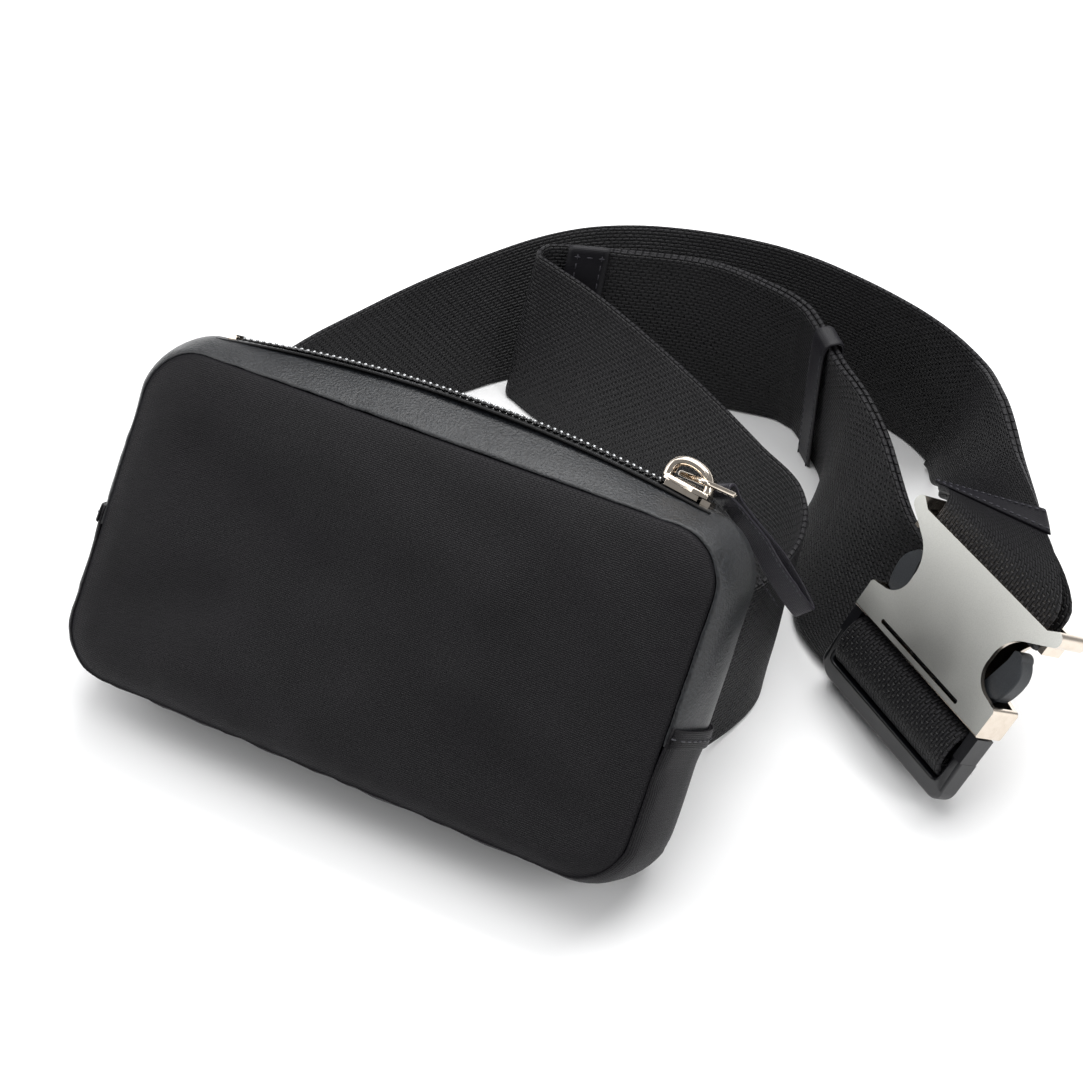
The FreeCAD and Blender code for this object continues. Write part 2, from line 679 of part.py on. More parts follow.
def make_male():
    """Moulded male end: end bar, two side arms, webbing bar and guide tongue."""
    lower = -8.6
    low = [(-29.5, -9.0), (-29.5, -19.0), (-28.036, -22.536, 0), (-24.5, -24.0), (24.5, -24.0),
           (28.036, -22.536, 0), (29.5, -19.0), (29.5, -9.0), (25.9, -9.0), (25.9, -16.4),
           (25.431, -17.531, 0), (24.3, -18.0), (-24.3, -18.0), (-25.431, -17.531, 0),
           (-25.9, -16.4), (-25.9, -9.0)]
    end = plate(low, lower, -1.6)
    rims = [e for e in end.Edges if abs(e.BoundBox.ZMin + 1.6) < 0.01 and abs(e.BoundBox.ZMax + 1.6) < 0.01]
    rims = [e for e in rims if e.BoundBox.YMax < -16 and e.BoundBox.XLength > 2]
    end = end.makeFillet(0.9, rims)
    save("male_end_bar", placed(end, BUCKLE))
    arms = []
    for s in (-1, 1):
        arms.append(Part.makeBox(3.4, 8.6, 7.0, V(s * 27.75 - 1.7, -9.0, lower + 0.4)))
    root = Part.makeBox(2 * SHELL_IN - 1.0, 2.4, 6.4, V(-SHELL_IN + 0.5, -0.4, -8.7))
    frame = arms[0].fuse(arms[1]).fuse(root)
    tongue = Part.makeBox(13.0, 22.0, 3.4, V(-6.5, 2.0, -7.2))
    ribs = []
    for x in (-5.6, 4.2):
        ribs.append(Part.makeBox(1.4, 20.0, 1.4, V(x, 2.0, -3.81)))
    for piece in [tongue] + ribs:
        frame = frame.fuse(piece)
    save("male_frame", placed(frame.removeSplitter(), BUCKLE))
    bar = Part.makeBox(2 * 25.9, 5.0, 3.2, V(-25.9, -11.6, -6.6))
    bar = bar.makeFillet(1.2, [e for e in bar.Edges if e.BoundBox.XLength > 40])
    save("male_web_bar", placed(bar, BUCKLE))
    loop = plate([(-16.2, -4.6), (-15.0, -0.9, 0), (-11.4, 0.2), (-6.6, 0.2), (-2.9, -0.9, 0), (-1.7, -4.6),
                  (-1.7, -8.2), (-3.6, -8.2), (-3.6, -5.0), (-4.3, -2.8, 0), (-6.6, -2.0),
                  (-11.4, -2.0), (-13.6, -2.8, 0), (-14.3, -5.0), (-14.3, -8.2), (-16.2, -8.2)], 0, WEB_W)
    turn = FreeCAD.Matrix(0, 0, 1, -WEB_W / 2, 1, 0, 0, 0, 0, 1, 0, 0, 0, 0, 0, 1)
    loop = loop.transformGeometry(turn)
    save("strap_roll", placed(loop, BUCKLE))


def prong(s):
    """Spring prong with the rounded finger pad that stands in the side notch."""
    arm = plate([(14.6, 3.3), (20.0, 3.3), (21.2, 6.0), (23.6, 9.5), (25.6, THROAT + 0.7), (26.9, 13.6, 0),
                 (27.4, 17.2), (26.8, 20.6, 0), (24.6, 23.4), (23.0, 24.6, 0), (21.0, 24.0),
                 (21.0, 21.0), (19.0, 12.0)], -8.2, -2.8)
    round_edges = [e for e in arm.Edges if e.BoundBox.ZLength < 0.01 and e.BoundBox.YMin > THROAT]
    arm = arm.makeFillet(0.7, [e for e in round_edges if e.BoundBox.XMin > 22.5])
    if s < 0:
        arm = arm.mirror(V(0, 0, 0), V(1, 0, 0))
    return arm


def make_prongs():
    save("prong_right", placed(prong(1), BUCKLE))
    save("prong_left", placed(prong(-1), BUCKLE))


make_pouch()
make_zip()
make_slider()
make_pull()
make_left_strap()
make_right_strap()
make_keeper()
make_shell()
make_male()
make_prongs()
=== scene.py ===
# %% [markdown]
# # A waist pack with a wide webbing belt
# The pack is a small black pouch that leans back on its own belt: twill panels, a coated band round
# the zip, 50 mm webbing that loops behind it, and a metal side-release buckle. Every place and size
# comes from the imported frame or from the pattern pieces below, in millimetres, and is turned to
# metres only when a mesh is made.

# %% Load the frame
import math
import bpy
import bmesh
import numpy as np
from mathutils import Matrix, Vector, noise


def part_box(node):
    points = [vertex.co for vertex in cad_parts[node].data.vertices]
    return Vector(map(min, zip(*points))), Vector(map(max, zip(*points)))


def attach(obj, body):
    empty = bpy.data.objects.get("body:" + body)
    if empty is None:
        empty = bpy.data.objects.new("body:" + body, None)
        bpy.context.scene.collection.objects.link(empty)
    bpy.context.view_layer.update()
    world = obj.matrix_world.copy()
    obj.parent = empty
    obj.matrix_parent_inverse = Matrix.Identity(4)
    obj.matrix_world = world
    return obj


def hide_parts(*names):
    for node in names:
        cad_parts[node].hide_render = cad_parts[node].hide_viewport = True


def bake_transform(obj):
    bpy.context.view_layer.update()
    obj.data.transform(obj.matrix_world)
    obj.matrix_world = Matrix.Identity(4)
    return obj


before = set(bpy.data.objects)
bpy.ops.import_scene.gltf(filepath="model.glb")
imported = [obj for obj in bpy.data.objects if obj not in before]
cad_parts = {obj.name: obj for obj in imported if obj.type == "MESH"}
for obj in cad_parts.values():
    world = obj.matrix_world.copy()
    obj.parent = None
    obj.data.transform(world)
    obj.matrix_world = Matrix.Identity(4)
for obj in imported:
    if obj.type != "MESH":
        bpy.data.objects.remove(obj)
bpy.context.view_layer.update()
MM = 0.001

# %% [markdown]
# ## Two small helpers
# Colours are picked as screen hex values, so one function turns them into the linear numbers that
# shaders use. One other function adds a node, sets it and links it, for shaders and for geometry.

# %% Colour and node helpers
def linear(code):
    """Linear RGBA of an sRGB hex colour."""
    parts = [int(code[i:i + 2], 16) / 255 for i in (1, 3, 5)]
    return [c / 12.92 if c <= 0.04045 else ((c + 0.055) / 1.055) ** 2.4 for c in parts] + [1.0]


def add(tree, kind, links=(), values=(), **settings):
    """A new node with its settings, its (input, value) pairs and its (input, socket) links."""
    node = tree.nodes.new(kind)
    for key, value in settings.items():
        setattr(node, key, value)
    for key, value in values:
        node.inputs[key].default_value = value
    for key, socket in links:
        tree.links.new(socket, node.inputs[key])
    return node


def finish_of(name, rough, metal=0.0, **constants):
    """A new material and its Principled shader, with the constants set on the sockets."""
    made = bpy.data.materials.new(name)
    made.use_nodes = True
    shader = made.node_tree.nodes["Principled BSDF"]
    shader.inputs["Roughness"].default_value = rough
    shader.inputs["Metallic"].default_value = metal
    for key, value in constants.items():
        shader.inputs[key.replace("_", " ")].default_value = value
    return made, made.node_tree, shader


print("mid grey in linear light", round(linear("#808080")[0], 3))

# %% [markdown]
# ## Woven finishes
# Belt webbing is nylon woven in thick rows: each row is a line of short raised floats, and the
# next row is shifted by half a float. A brick pattern with soft joints is that layout exactly,
# so it drives both the height and the colour, and its darker joints are painted shade in the
# valleys between the floats. It follows the webbing through a UV map in metres.

# %% Woven materials
def woven(name, float_len, row, lit, valley_shade, rough, depth, sheen, shift=0.5, shine=0.3):
    """Cloth of raised floats in rows, with sizes in millimetres; the joints between floats are painted shade.
    """
    made, tree, shader = finish_of(name, rough, Sheen_Weight=sheen, Sheen_Roughness=0.45)
    shader.inputs["Sheen Tint"].default_value = linear("#8d88a0")
    shader.inputs["Specular IOR Level"].default_value = shine
    uv = add(tree, "ShaderNodeUVMap", uv_map="cloth")
    wander = add(tree, "ShaderNodeTexNoise", [("Vector", uv.outputs["UV"])],
                 [("Scale", 700.0), ("Detail", 2.0)])
    drift = add(tree, "ShaderNodeVectorMath", [(0, wander.outputs["Color"])],
                [(1, (row * MM * 0.35,) * 3)], operation="MULTIPLY")
    place = add(tree, "ShaderNodeVectorMath", [(0, uv.outputs["UV"]), (1, drift.outputs[0])],
                operation="ADD")
    # The brick's mortar colour is painted shade, darkening the valleys between the floats.
    rows = add(tree, "ShaderNodeTexBrick", [("Vector", place.outputs[0])], [
        ("Color1", linear(lit)), ("Color2", linear(lit)), ("Mortar", linear(valley_shade)),
        ("Scale", 1.0 / (float_len * MM)), ("Brick Width", 1.0), ("Row Height", row / float_len),
        ("Mortar Size", 0.3 * row / float_len), ("Mortar Smooth", 1.0),
    ], offset=shift)
    patch = add(tree, "ShaderNodeTexNoise", [("Vector", uv.outputs["UV"])],
                [("Scale", 60.0), ("Detail", 4.0)])
    tone = add(tree, "ShaderNodeMapRange", [("Value", patch.outputs["Fac"])],
               [("From Min", 0.3), ("From Max", 0.7), ("To Min", 0.78), ("To Max", 1.2)])
    shade = add(tree, "ShaderNodeVectorMath", [(0, rows.outputs["Color"]), ("Scale", tone.outputs[0])],
                operation="SCALE")
    fuzz = add(tree, "ShaderNodeTexNoise", [("Vector", uv.outputs["UV"])],
               [("Scale", 4000.0), ("Detail", 1.0)])
    valley = add(tree, "ShaderNodeMath", [(0, fuzz.outputs["Fac"]), (2, rows.outputs["Fac"])],
                 [(1, 0.35)], operation="MULTIPLY_ADD")
    bump = add(tree, "ShaderNodeBump", [("Height", valley.outputs[0])],
               [("Strength", 1.0), ("Distance", depth * MM)], invert=True)
    tree.links.new(shade.outputs[0], shader.inputs["Base Color"])
    tree.links.new(bump.outputs[0], shader.inputs["Normal"])
    return made


# In each woven finish the second colour is painted shade for the valleys between its floats.
# Heavy nylon webbing: floats about 2.4 mm long in rows 1.15 mm apart, a little coarser than real.
WEBBING = woven("nylon belt webbing", 2.4, 1.15, "#151417", "#010101", 0.5, 1.0, 0.02, 0.5, 0.28)
# Fine nylon twill: its 0.3 mm ribs are drawn at 0.55 mm so that they show.
TWILL = woven("nylon twill", 1.5, 0.55, "#0d0b0f", "#060507", 0.52, 0.12, 0.03, 0.33, 0.2)
# Zip tape: close ribs across a thin black tape.
ZIP_TAPE = woven("zip tape", 0.9, 0.6, "#0b0b0d", "#030304", 0.7, 0.12, 0.0)
# Pull tape: satin-faced narrow tape with a violet cast.
PULL_TAPE = woven("satin pull tape", 2.6, 0.5, "#17131f", "#08070b", 0.36, 0.16, 0.06, 0.4, 0.4)
# Trim cloth of the tab, keeper and binding: a smooth plain weave.
TRIM = woven("smooth trim cloth", 0.8, 0.5, "#131217", "#0a090d", 0.46, 0.04, 0.05)
print("woven finishes", [m.name for m in bpy.data.materials])

# %% [markdown]
# ## Coated, moulded and plated finishes
# The band round the zip is cloth with a matt polyurethane coat: a fine pebble shows through it and
# it catches broad grey highlights. The buckle's moulded end is glass-filled nylon with a spark-eroded
# grain. The metal is zinc, nickel plated: polished at the edges, brushed to satin on the face.

# %% Coated, plastic and metal materials
def grained(name, base, fleck, grain_mm, rough, depth, metal=0.0, spread=0.06, **constants):
    """A finish with a fine grain in its height, colour and gloss, on object coordinates."""
    made, tree, shader = finish_of(name, rough, metal, **constants)
    place = add(tree, "ShaderNodeTexCoord")
    grain = add(tree, "ShaderNodeTexNoise", [("Vector", place.outputs["Object"])],
                [("Scale", 1.0 / (grain_mm * MM)), ("Detail", 3.0), ("Roughness", 0.6)])
    broad = add(tree, "ShaderNodeTexNoise", [("Vector", place.outputs["Object"])],
                [("Scale", 45.0), ("Detail", 3.0)])
    mask = add(tree, "ShaderNodeMapRange", [("Value", grain.outputs["Fac"])],
               [("From Min", 0.42), ("From Max", 0.66)])
    colour = add(tree, "ShaderNodeMix", [("Factor", mask.outputs[0])], data_type="RGBA")
    colour.inputs[6].default_value = linear(base)
    colour.inputs[7].default_value = linear(fleck)
    gloss = add(tree, "ShaderNodeMapRange", [("Value", broad.outputs["Fac"])],
                [("From Min", 0.3), ("From Max", 0.7), ("To Min", rough - spread),
                 ("To Max", rough + spread)])
    bump = add(tree, "ShaderNodeBump", [("Height", grain.outputs["Fac"])],
               [("Strength", 0.8), ("Distance", depth * MM)])
    tree.links.new(colour.outputs[2], shader.inputs["Base Color"])
    tree.links.new(gloss.outputs[0], shader.inputs["Roughness"])
    tree.links.new(bump.outputs[0], shader.inputs["Normal"])
    return made


COATED = grained("polyurethane coated cloth", "#0b0c0f", "#1d2024", 0.8, 0.4, 0.35,
                 Specular_IOR_Level=0.45, Coat_Weight=0.05, Coat_Roughness=0.35)
PLASTIC = grained("moulded nylon", "#101013", "#1c1c20", 0.35, 0.34, 0.03)
PAD = grained("grained rubbery nylon", "#1f2226", "#2c3035", 0.3, 0.5, 0.06)
COIL = grained("zip coil", "#060607", "#0e0e10", 0.3, 0.25, 0.01)
POLISHED = grained("polished nickel plate", "#d5cabd", "#cdc1b2", 2.5, 0.14, 0.001, 1.0, 0.04)
SATIN = grained("satin nickel plate", "#d6d6d1", "#cbcbc6", 0.25, 0.46, 0.006, 1.0, 0.05)
TOOTH = grained("bright plated zip tooth", "#c8cacc", "#b6b8ba", 0.4, 0.24, 0.002, 1.0, 0.05)
THREAD = grained("polyester sewing thread", "#26252b", "#3a3941", 0.25, 0.5, 0.05)
print("finishes", len(bpy.data.materials))

# %% [markdown]
# ## Meshes from rows of points
# Almost everything soft here is a grid of points: webbing, gussets and panels. One function turns a
# grid into a smooth mesh with a UV map in metres, so that the weave keeps its real scale.

# %% Grid mesh helper
def placed(name, data):
    """A new object in the scene that shows this mesh, curve, light or camera."""
    thing = bpy.data.objects.new(name, data)
    bpy.context.scene.collection.objects.link(thing)
    return thing


def to_piece(name, verts, faces, uvs, material, body):
    """A mesh object in metres from points in millimetres, with UVs by vertex."""
    mesh = bpy.data.meshes.new(name)
    mesh.from_pydata([Vector(v) * MM for v in verts], [], faces)
    layer = mesh.uv_layers.new(name="cloth")
    for loop in mesh.loops:
        layer.data[loop.index].uv = uvs[loop.vertex_index]
    mesh.shade_smooth()
    mesh.materials.append(material)
    piece = placed(name, mesh)
    if body:
        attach(piece, body)
    return piece


def thicken(piece, thick):
    """Gives a cloth its thickness, inwards from the modelled face."""
    wall = piece.modifiers.new("cloth thickness", "SOLIDIFY")
    wall.thickness = thick * MM
    wall.offset = -1.0


def grid_faces(rows, columns, closed=False):
    """Quads of a grid of points stored row by row."""
    faces = []
    last = columns if closed else columns - 1
    for i in range(rows - 1):
        for j in range(last):
            k = (j + 1) % columns
            faces.append((i * columns + j, i * columns + k, (i + 1) * columns + k, (i + 1) * columns + j))
    return faces


# %% [markdown]
# ## The belt's routes
# Webbing can't stretch or bend edgeways, so it is drawn by its two edges: each station is where the
# lower and the upper edge stand. A smooth curve runs through the stations, and the width is set back
# to 50 mm at each one. These are the same stations as the solid model's.

# %% Belt stations
LEAN = math.sin(math.radians(45.0))
WEB_W = 50.0
WEB_T = 1.8
PER_SPAN = 12
BUCKLE_AT = Vector((130.8, 76.1, 28.2))
ACROSS = Vector((0.80, -0.59, 0.08)).normalized()
FACE = ACROSS.cross(Vector((0.29, 0.50, 0.81))).normalized()
LONG = FACE.cross(ACROSS)


def in_buckle(x, y, z):
    """A point of the buckle: across the belt, from the male end to the female end, out of the face."""
    return BUCKLE_AT + ACROSS * x + LONG * y + FACE * z


LEFT_ROUTE = [
    ((-58, 18.8, 13.3), (-58, 54.2, 48.6)),
    ((-77, 18.8, 13.3), (-77, 54.2, 48.6)),
    ((-84, 24, 11), (-84, 59, 46.6)),
    ((-88, 42, 7), (-87, 76, 43.7)),
    ((-86, 70, 2), (-84, 101, 41)),
    ((-77, 96, 0), (-75, 127, 39)),
    ((-60, 128, 0), (-59, 158, 39)),
    ((-38, 158, 0), (-39, 189, 38)),
    ((-13, 176, 0), (-14, 203, 41)),
    ((25, 190, 0), (25, 208, 46)),
    ((62, 197, 0), (62, 203, 49.5)),
    ((87, 192, 0), (92, 194, 49.8)),
    ((103, 182, 1), (112, 182, 50)),
    ((109, 168, 8), (124, 164, 55)),
    ((113, 156, 18), (138, 138, 57)),
    ((117, 132, 40), (154, 106, 61)),
]
RIGHT_ROUTE = [
    ((58, 18.8, 13.3), (58, 54.2, 48.6)),
    ((67, 19.6, 12.9), (67, 55, 48.2)),
    ((76, 28, 7.5), (76.5, 62.5, 44.5)),
    ((84, 45, 2), (84.5, 76.5, 41.5)),
    ((89, 68, 0), (87.5, 98, 39.5)),
    ((81, 87, 0), (80, 116, 40)),
    ((64, 98, 0), (63, 127, 40)),
    ((40, 112, 0), (41, 140, 41)),
    ((16, 126, 0), (17, 152, 42)),
    ((-8, 139, 0), (-7, 163, 44)),
    ((-29, 148, 0), (-28, 170, 45)),
    ((-34.5, 150.5, 0), (-33.5, 172, 45)),
    ((-35, 155, 0), (-34, 176, 45)),
    ((-30, 159, 0), (-29, 179, 45)),
    ((-8, 168, 0), (-7, 185, 47)),
    ((18, 176, 0), (18, 191, 48)),
    ((45, 182, 0), (42, 187, 49.5)),
    ((55, 181, 0), (54, 183, 50)),
    ((61, 177.5, 0), (61, 177.5, 50)),
    ((75, 162.5, 0), (75, 162.5, 50)),
    ((77, 152, 0), (85, 154, 49)),
    ((77, 140, 0), (98, 141, 45)),
    ((80, 124, 0), (112, 124, 38.5)),
    ((88, 104, 0), (128, 110, 28)),
    ((95, 96, 0), (138, 90, 20)),
    ((104, 91, 0), (146, 71, 13)),
    (tuple(in_buckle(-25, -14, -14.6)), tuple(in_buckle(25, -14, -14.6))),
]
TAIL_START = 13
KEEP_FROM = 18


def spline(a, b, c, d, t):
    """Point between b and c of the smooth curve that passes through all four."""
    q = b * 2 + (c - a) * t + (a * 2 - b * 5 + c * 4 - d) * t * t
    return (q + (b * 3 - a - c * 3 + d) * t ** 3) / 2


def smooth_route(stations):
    """Dense (lower edge, upper edge) pairs on curves through the stations, at the full width."""
    ends = [[Vector(p) for p in pair] for pair in stations]
    out = []
    for i in range(len(ends) - 1):
        around = [ends[max(i - 1, 0)], ends[i], ends[i + 1], ends[min(i + 2, len(ends) - 1)]]
        for k in range(PER_SPAN):
            t = k / PER_SPAN
            low, high = (spline(*(station[e] for station in around), t) for e in (0, 1))
            low.z = max(low.z, 0.0)
            out.append((low, low + (high - low).normalized() * WEB_W))
    low, high = ends[-1]
    out.append((low, low + (high - low).normalized() * WEB_W))
    return out


def facing(rows):
    """The webbing's unit normal at each row: run direction crossed with the width."""
    out = []
    for i, (low, high) in enumerate(rows):
        a = rows[max(i - 1, 0)]
        b = rows[min(i + 1, len(rows) - 1)]
        run = (b[0] + b[1]) - (a[0] + a[1])
        out.append(run.cross(high - low).normalized())
    return out


LEFT_ROWS = smooth_route(LEFT_ROUTE)
RIGHT_ROWS = smooth_route(RIGHT_ROUTE)
print("belt rows", len(LEFT_ROWS), len(RIGHT_ROWS))

# %% [markdown]
# ## Webbing as a solid band
# A flat ribbon would look like paper, so the band has its real 1.8 mm thickness, a rounded selvedge
# with a slight bead beside it, and a shallow ripple where a belt that has been folded never lies
# quite true. Layers that lie on each other share the ripple, so they can't cross.

# %% Band builder
EDGE = [(0.0, 0.0), (0.2, 0.62), (0.55, 0.9), (1.1, 1.08), (2.2, 1.1), (3.4, 1.0)]


def profile(width, inner_columns):
    """Places across a band, each with its share of the half thickness."""
    left = list(EDGE)
    right = [(width - w, share) for w, share in reversed(EDGE)]
    gap = (width - 2 * EDGE[-1][0]) / (inner_columns + 1)
    middle = [(EDGE[-1][0] + gap * (i + 1), 1.0) for i in range(inner_columns)]
    return left + middle + right


def ripple(along, w):
    """Small bow of used webbing, in millimetres."""
    place = Vector((along * 0.028, w * 0.03, 3.7))
    return 0.75 * noise.noise(place) + 0.25 * noise.noise(place * 3.1)


def band(name, rows, material, body, offset=0.0, thick=WEB_T, ripples=None, start=0.0,
         grow=0.0, inner_columns=14, closed=False, floor=True):
    """A band of cloth through rows of edge pairs, moved out along its normal by an offset."""
    width = (rows[0][1] - rows[0][0]).length + 2 * grow
    across = profile(width, inner_columns) if width > 9 else narrow_profile(width)
    loop = [(w, share) for w, share in across] + [(w, -share) for w, share in reversed(across[1:-1])]
    normals = facing(rows)
    if closed:
        normals = facing([rows[-1]] + rows + [rows[0]])[1:-1]
    verts, uvs = [], []
    along = start
    for i, (low, high) in enumerate(rows):
        if i:
            along += ((rows[i][0] + rows[i][1]) - (rows[i - 1][0] + rows[i - 1][1])).length / 2
        side = (high - low).normalized()
        lift = ripples[i] if ripples else 0.0
        for w, share in loop:
            bow = lift * ripple(along, w) if lift else 0.0
            p = low + side * (w - grow) + normals[i] * (offset + bow + share * thick / 2)
            if floor:
                p.z = max(p.z, 0.0)
            verts.append(p)
            uvs.append((along * MM, w * MM))
    faces = grid_faces(len(rows), len(loop), closed=True)
    n = len(loop)
    if closed:
        base = (len(rows) - 1) * n
        faces += [(base + j, base + (j + 1) % n, (j + 1) % n, j) for j in range(n)]
    else:
        half = len(across)
        for base, flip in ((0, True), ((len(rows) - 1) * n, False)):
            for j in range(half - 1):
                front = (base + j, base + j + 1)
                back = (base + (n - j - 1) % n, base + (n - j) % n)
                face = [front[0], front[1], back[0], back[1]]
                face = [v for k, v in enumerate(face) if v not in face[:k]]
                faces.append(tuple(reversed(face)) if not flip else tuple(face))
    piece = to_piece(name, verts, faces, uvs, material, None)
    face_outwards(piece)
    if body:
        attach(piece, body)
    return piece


def narrow_profile(width):
    """Places across a narrow tape, with a rounded edge."""
    return [(0.0, 0.0), (0.15, 0.6), (0.5, 0.95), (width * 0.3, 1.0), (width * 0.5, 1.0),
            (width * 0.7, 1.0), (width - 0.5, 0.95), (width - 0.15, 0.6), (width, 0.0)]


def face_outwards(piece):
    """Turns every face of a closed mesh outwards."""
    work = bmesh.new()
    work.from_mesh(piece.data)
    bmesh.ops.recalc_face_normals(work, faces=work.faces)
    work.to_mesh(piece.data)
    work.free()
    piece.data.shade_smooth()


def length_of(rows):
    """Length of the webbing along its middle."""
    return sum(((b[0] + b[1]) - (a[0] + a[1])).length / 2 for a, b in zip(rows, rows[1:]))


def fades(count, span=14):
    """Share of the ripple at each row: none at the ends, which have to meet another piece."""
    return [min(i / span, (count - 1 - i) / span, 1.0) for i in range(count)]


# %% [markdown]
# ## The left side of the belt
# One long band runs from the back of the pouch round to the standing bend. Its last stretch is a
# band of its own, because it lifts with the metal buckle end: it climbs, wraps round the bar inside
# the metal shell and comes back on itself as a second layer, sewn down under a cloth binding.

# %% Left belt
SPLIT = 12 * PER_SPAN
left_first = LEFT_ROWS[:SPLIT + 1]
left_fades = fades(len(left_first))
left_band = band("belt_left_run", left_first, WEBBING, "pack", ripples=left_fades)
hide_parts("strap_left_anchor", "strap_left_side", "strap_left_back", "strap_left_long",
            "strap_left_corner")


def eased(a, a_run, b, b_run, count):
    """Points on a curve from a to b with a given run-out at each end."""
    out = []
    for k in range(1, count):
        t = k / count
        h1 = 2 * t ** 3 - 3 * t ** 2 + 1
        out.append(a * h1 + b * (1 - h1) + a_run * (t ** 3 - 2 * t ** 2 + t) + b_run * (t ** 3 - t ** 2))
    return out


def bar_wrap():
    """Edge pairs round the bar in the metal end: under it, round its near side, back above it."""
    path = [(38.5, -8.3), (36, -8.34), (33.5, -8.35), (31, -8.35)]
    for k in range(1, 12):
        a = math.pi * k / 12
        path.append((31 - 2.85 * math.sin(a), -5.5 - 2.85 * math.cos(a)))
    path += [(31, -2.65), (33.5, -2.66), (36, -2.7), (38.5, -2.75)]
    return [(in_buckle(-25, y, z), in_buckle(25, y, z)) for y, z in path]


FOLD_OFFSET = WEB_T / 2 + 0.15 + WEB_T / 2
rise = LEFT_ROWS[SPLIT:]
rise_face = facing(LEFT_ROWS)[SPLIT:]
wrap = bar_wrap()
step = (rise[-1][0] - rise[-2][0]).normalized() * 20
neck = list(zip(*[eased(rise[-1][e], step, wrap[0][e], LONG * -20, 8) for e in (0, 1)]))
top = [(low + n * FOLD_OFFSET, high + n * FOLD_OFFSET) for (low, high), n in zip(rise, rise_face)]
fold_neck = list(zip(*[eased(wrap[-1][e], LONG * 20, top[-1][e], step * -1, 8) for e in (0, 1)]))
lift_rows = rise + neck + wrap + fold_neck + top[::-1]
left_lift = band("belt_left_lift", lift_rows, WEBBING, None, start=length_of(left_first))
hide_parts("strap_left_rise", "strap_left_fold", "strap_left_neck",
            "strap_left_fold_neck", "strap_left_loop")
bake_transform(left_lift)
print("left belt faces", len(left_band.data.polygons), len(left_lift.data.polygons))

# %% [markdown]
# ## The right side of the belt
# The other half turns back on itself behind the pouch and its free tail lies on it, through a cloth
# keeper, all the way down to the moulded buckle end. The tail is a second band at a fixed distance
# from the first, so the two can't cut through each other.

# %% Right belt and tail
TAIL_OFFSET = WEB_T / 2 + 0.2 + WEB_T / 2
right_fades = fades(len(RIGHT_ROWS))
for i, share in enumerate(right_fades):
    from_keeper = max(abs(i / PER_SPAN - KEEP_FROM - 0.5) - 1.2, 0.0)
    right_fades[i] = share * min(from_keeper / 1.5, 1.0)
right_band = band("belt_right_run", RIGHT_ROWS, WEBBING, "pack", ripples=right_fades)
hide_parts("strap_right_anchor", "strap_right_side", "strap_right_bend",
            "strap_right_first", "strap_right_turn", "strap_right_back", "strap_right_keep",
            "strap_right_down", "strap_right_under")
tail_from = TAIL_START * PER_SPAN + PER_SPAN // 3
tail_rows = RIGHT_ROWS[tail_from:]
tail_along = length_of(RIGHT_ROWS[:tail_from + 1])
tail = band("belt_tail", tail_rows, WEBBING, "pack", offset=TAIL_OFFSET,
            ripples=right_fades[tail_from:], start=tail_along)
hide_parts("strap_tail_back", "strap_tail_keep", "strap_tail_down", "strap_tail_under")
print("right belt faces", len(right_band.data.polygons), len(tail.data.polygons))

# %% [markdown]
# ## The pouch's shape
# The pouch is a soft box: two flat panels with round corners, and a gusset between them that bows
# out and rises to the zip. It is described upright, x along it, d into its depth and h up its face,
# then leaned back by 45 degrees. An outline at any depth is four sides that meet in the middle of
# the corners, so panels and gussets share the same border points and their seams close.

# %% Pouch outline
_, panel_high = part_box("front_panel")
HALF = panel_high.x / MM
DEPTH = 35.0
MID = DEPTH / 2
REST = 4.0
CORNER = 15.0
ARCH_R = 450.0
HEM = 46.0
DEPTHS = [0.0, 3.0, 8.0, 14.1, 17.5, 21.0, 27.0, 32.0, 35.0]
BULGE = [0.0, 2.4, 4.2, 5.3, 5.5, 5.3, 4.2, 2.2, 0.0]
SAG = [0.0, -1.0, -1.8, -2.2, -2.2, -2.1, -1.6, -0.9, 0.0]
ROOF = [95.0, 96.6, 98.9, 101.2, 101.4, 101.2, 100.2, 98.6, 97.0]
ARCH = [0.0, 0.25, 0.62, 0.98, 1.0, 0.98, 0.62, 0.25, 0.0]


def crown(half):
    """Rise of the long top arc over a chord of this half length."""
    return ARCH_R - math.sqrt(ARCH_R ** 2 - half ** 2)


TOP = ROOF[0]
ZIP_TOP = TOP - crown(HALF - CORNER) + 12.0 + crown(HALF + 2.6 - CORNER - 4.0)


def along_curve(xs, ys, x):
    """Smooth value at x on a curve through the keys."""
    i = min(max(int(np.searchsorted(xs, x)) - 1, 0), len(xs) - 2)
    slopes = []
    for k in (i, i + 1):
        a, b = max(k - 1, 0), min(k + 1, len(xs) - 1)
        slopes.append((ys[b] - ys[a]) / (xs[b] - xs[a]))
    w = xs[i + 1] - xs[i]
    t = (x - xs[i]) / w
    h1 = 2 * t ** 3 - 3 * t ** 2 + 1
    tangent = slopes[0] * (t ** 3 - 2 * t ** 2 + t) + slopes[1] * (t ** 3 - t ** 2)
    return ys[i] * h1 + ys[i + 1] * (1 - h1) + w * tangent


def leaned(x, d, h):
    """World place of an upright pouch point, resting on the floor."""
    return Vector((x, LEAN * (h + d - DEPTH), max(LEAN * (h - d + DEPTH - REST), 0.0)))


ARC_STEPS = 7
LONG_STEPS = 56
LOW_STEPS = 12
HIGH_STEPS = 12
NX = 2 * ARC_STEPS + LONG_STEPS
NY = 2 * ARC_STEPS + LOW_STEPS + HIGH_STEPS


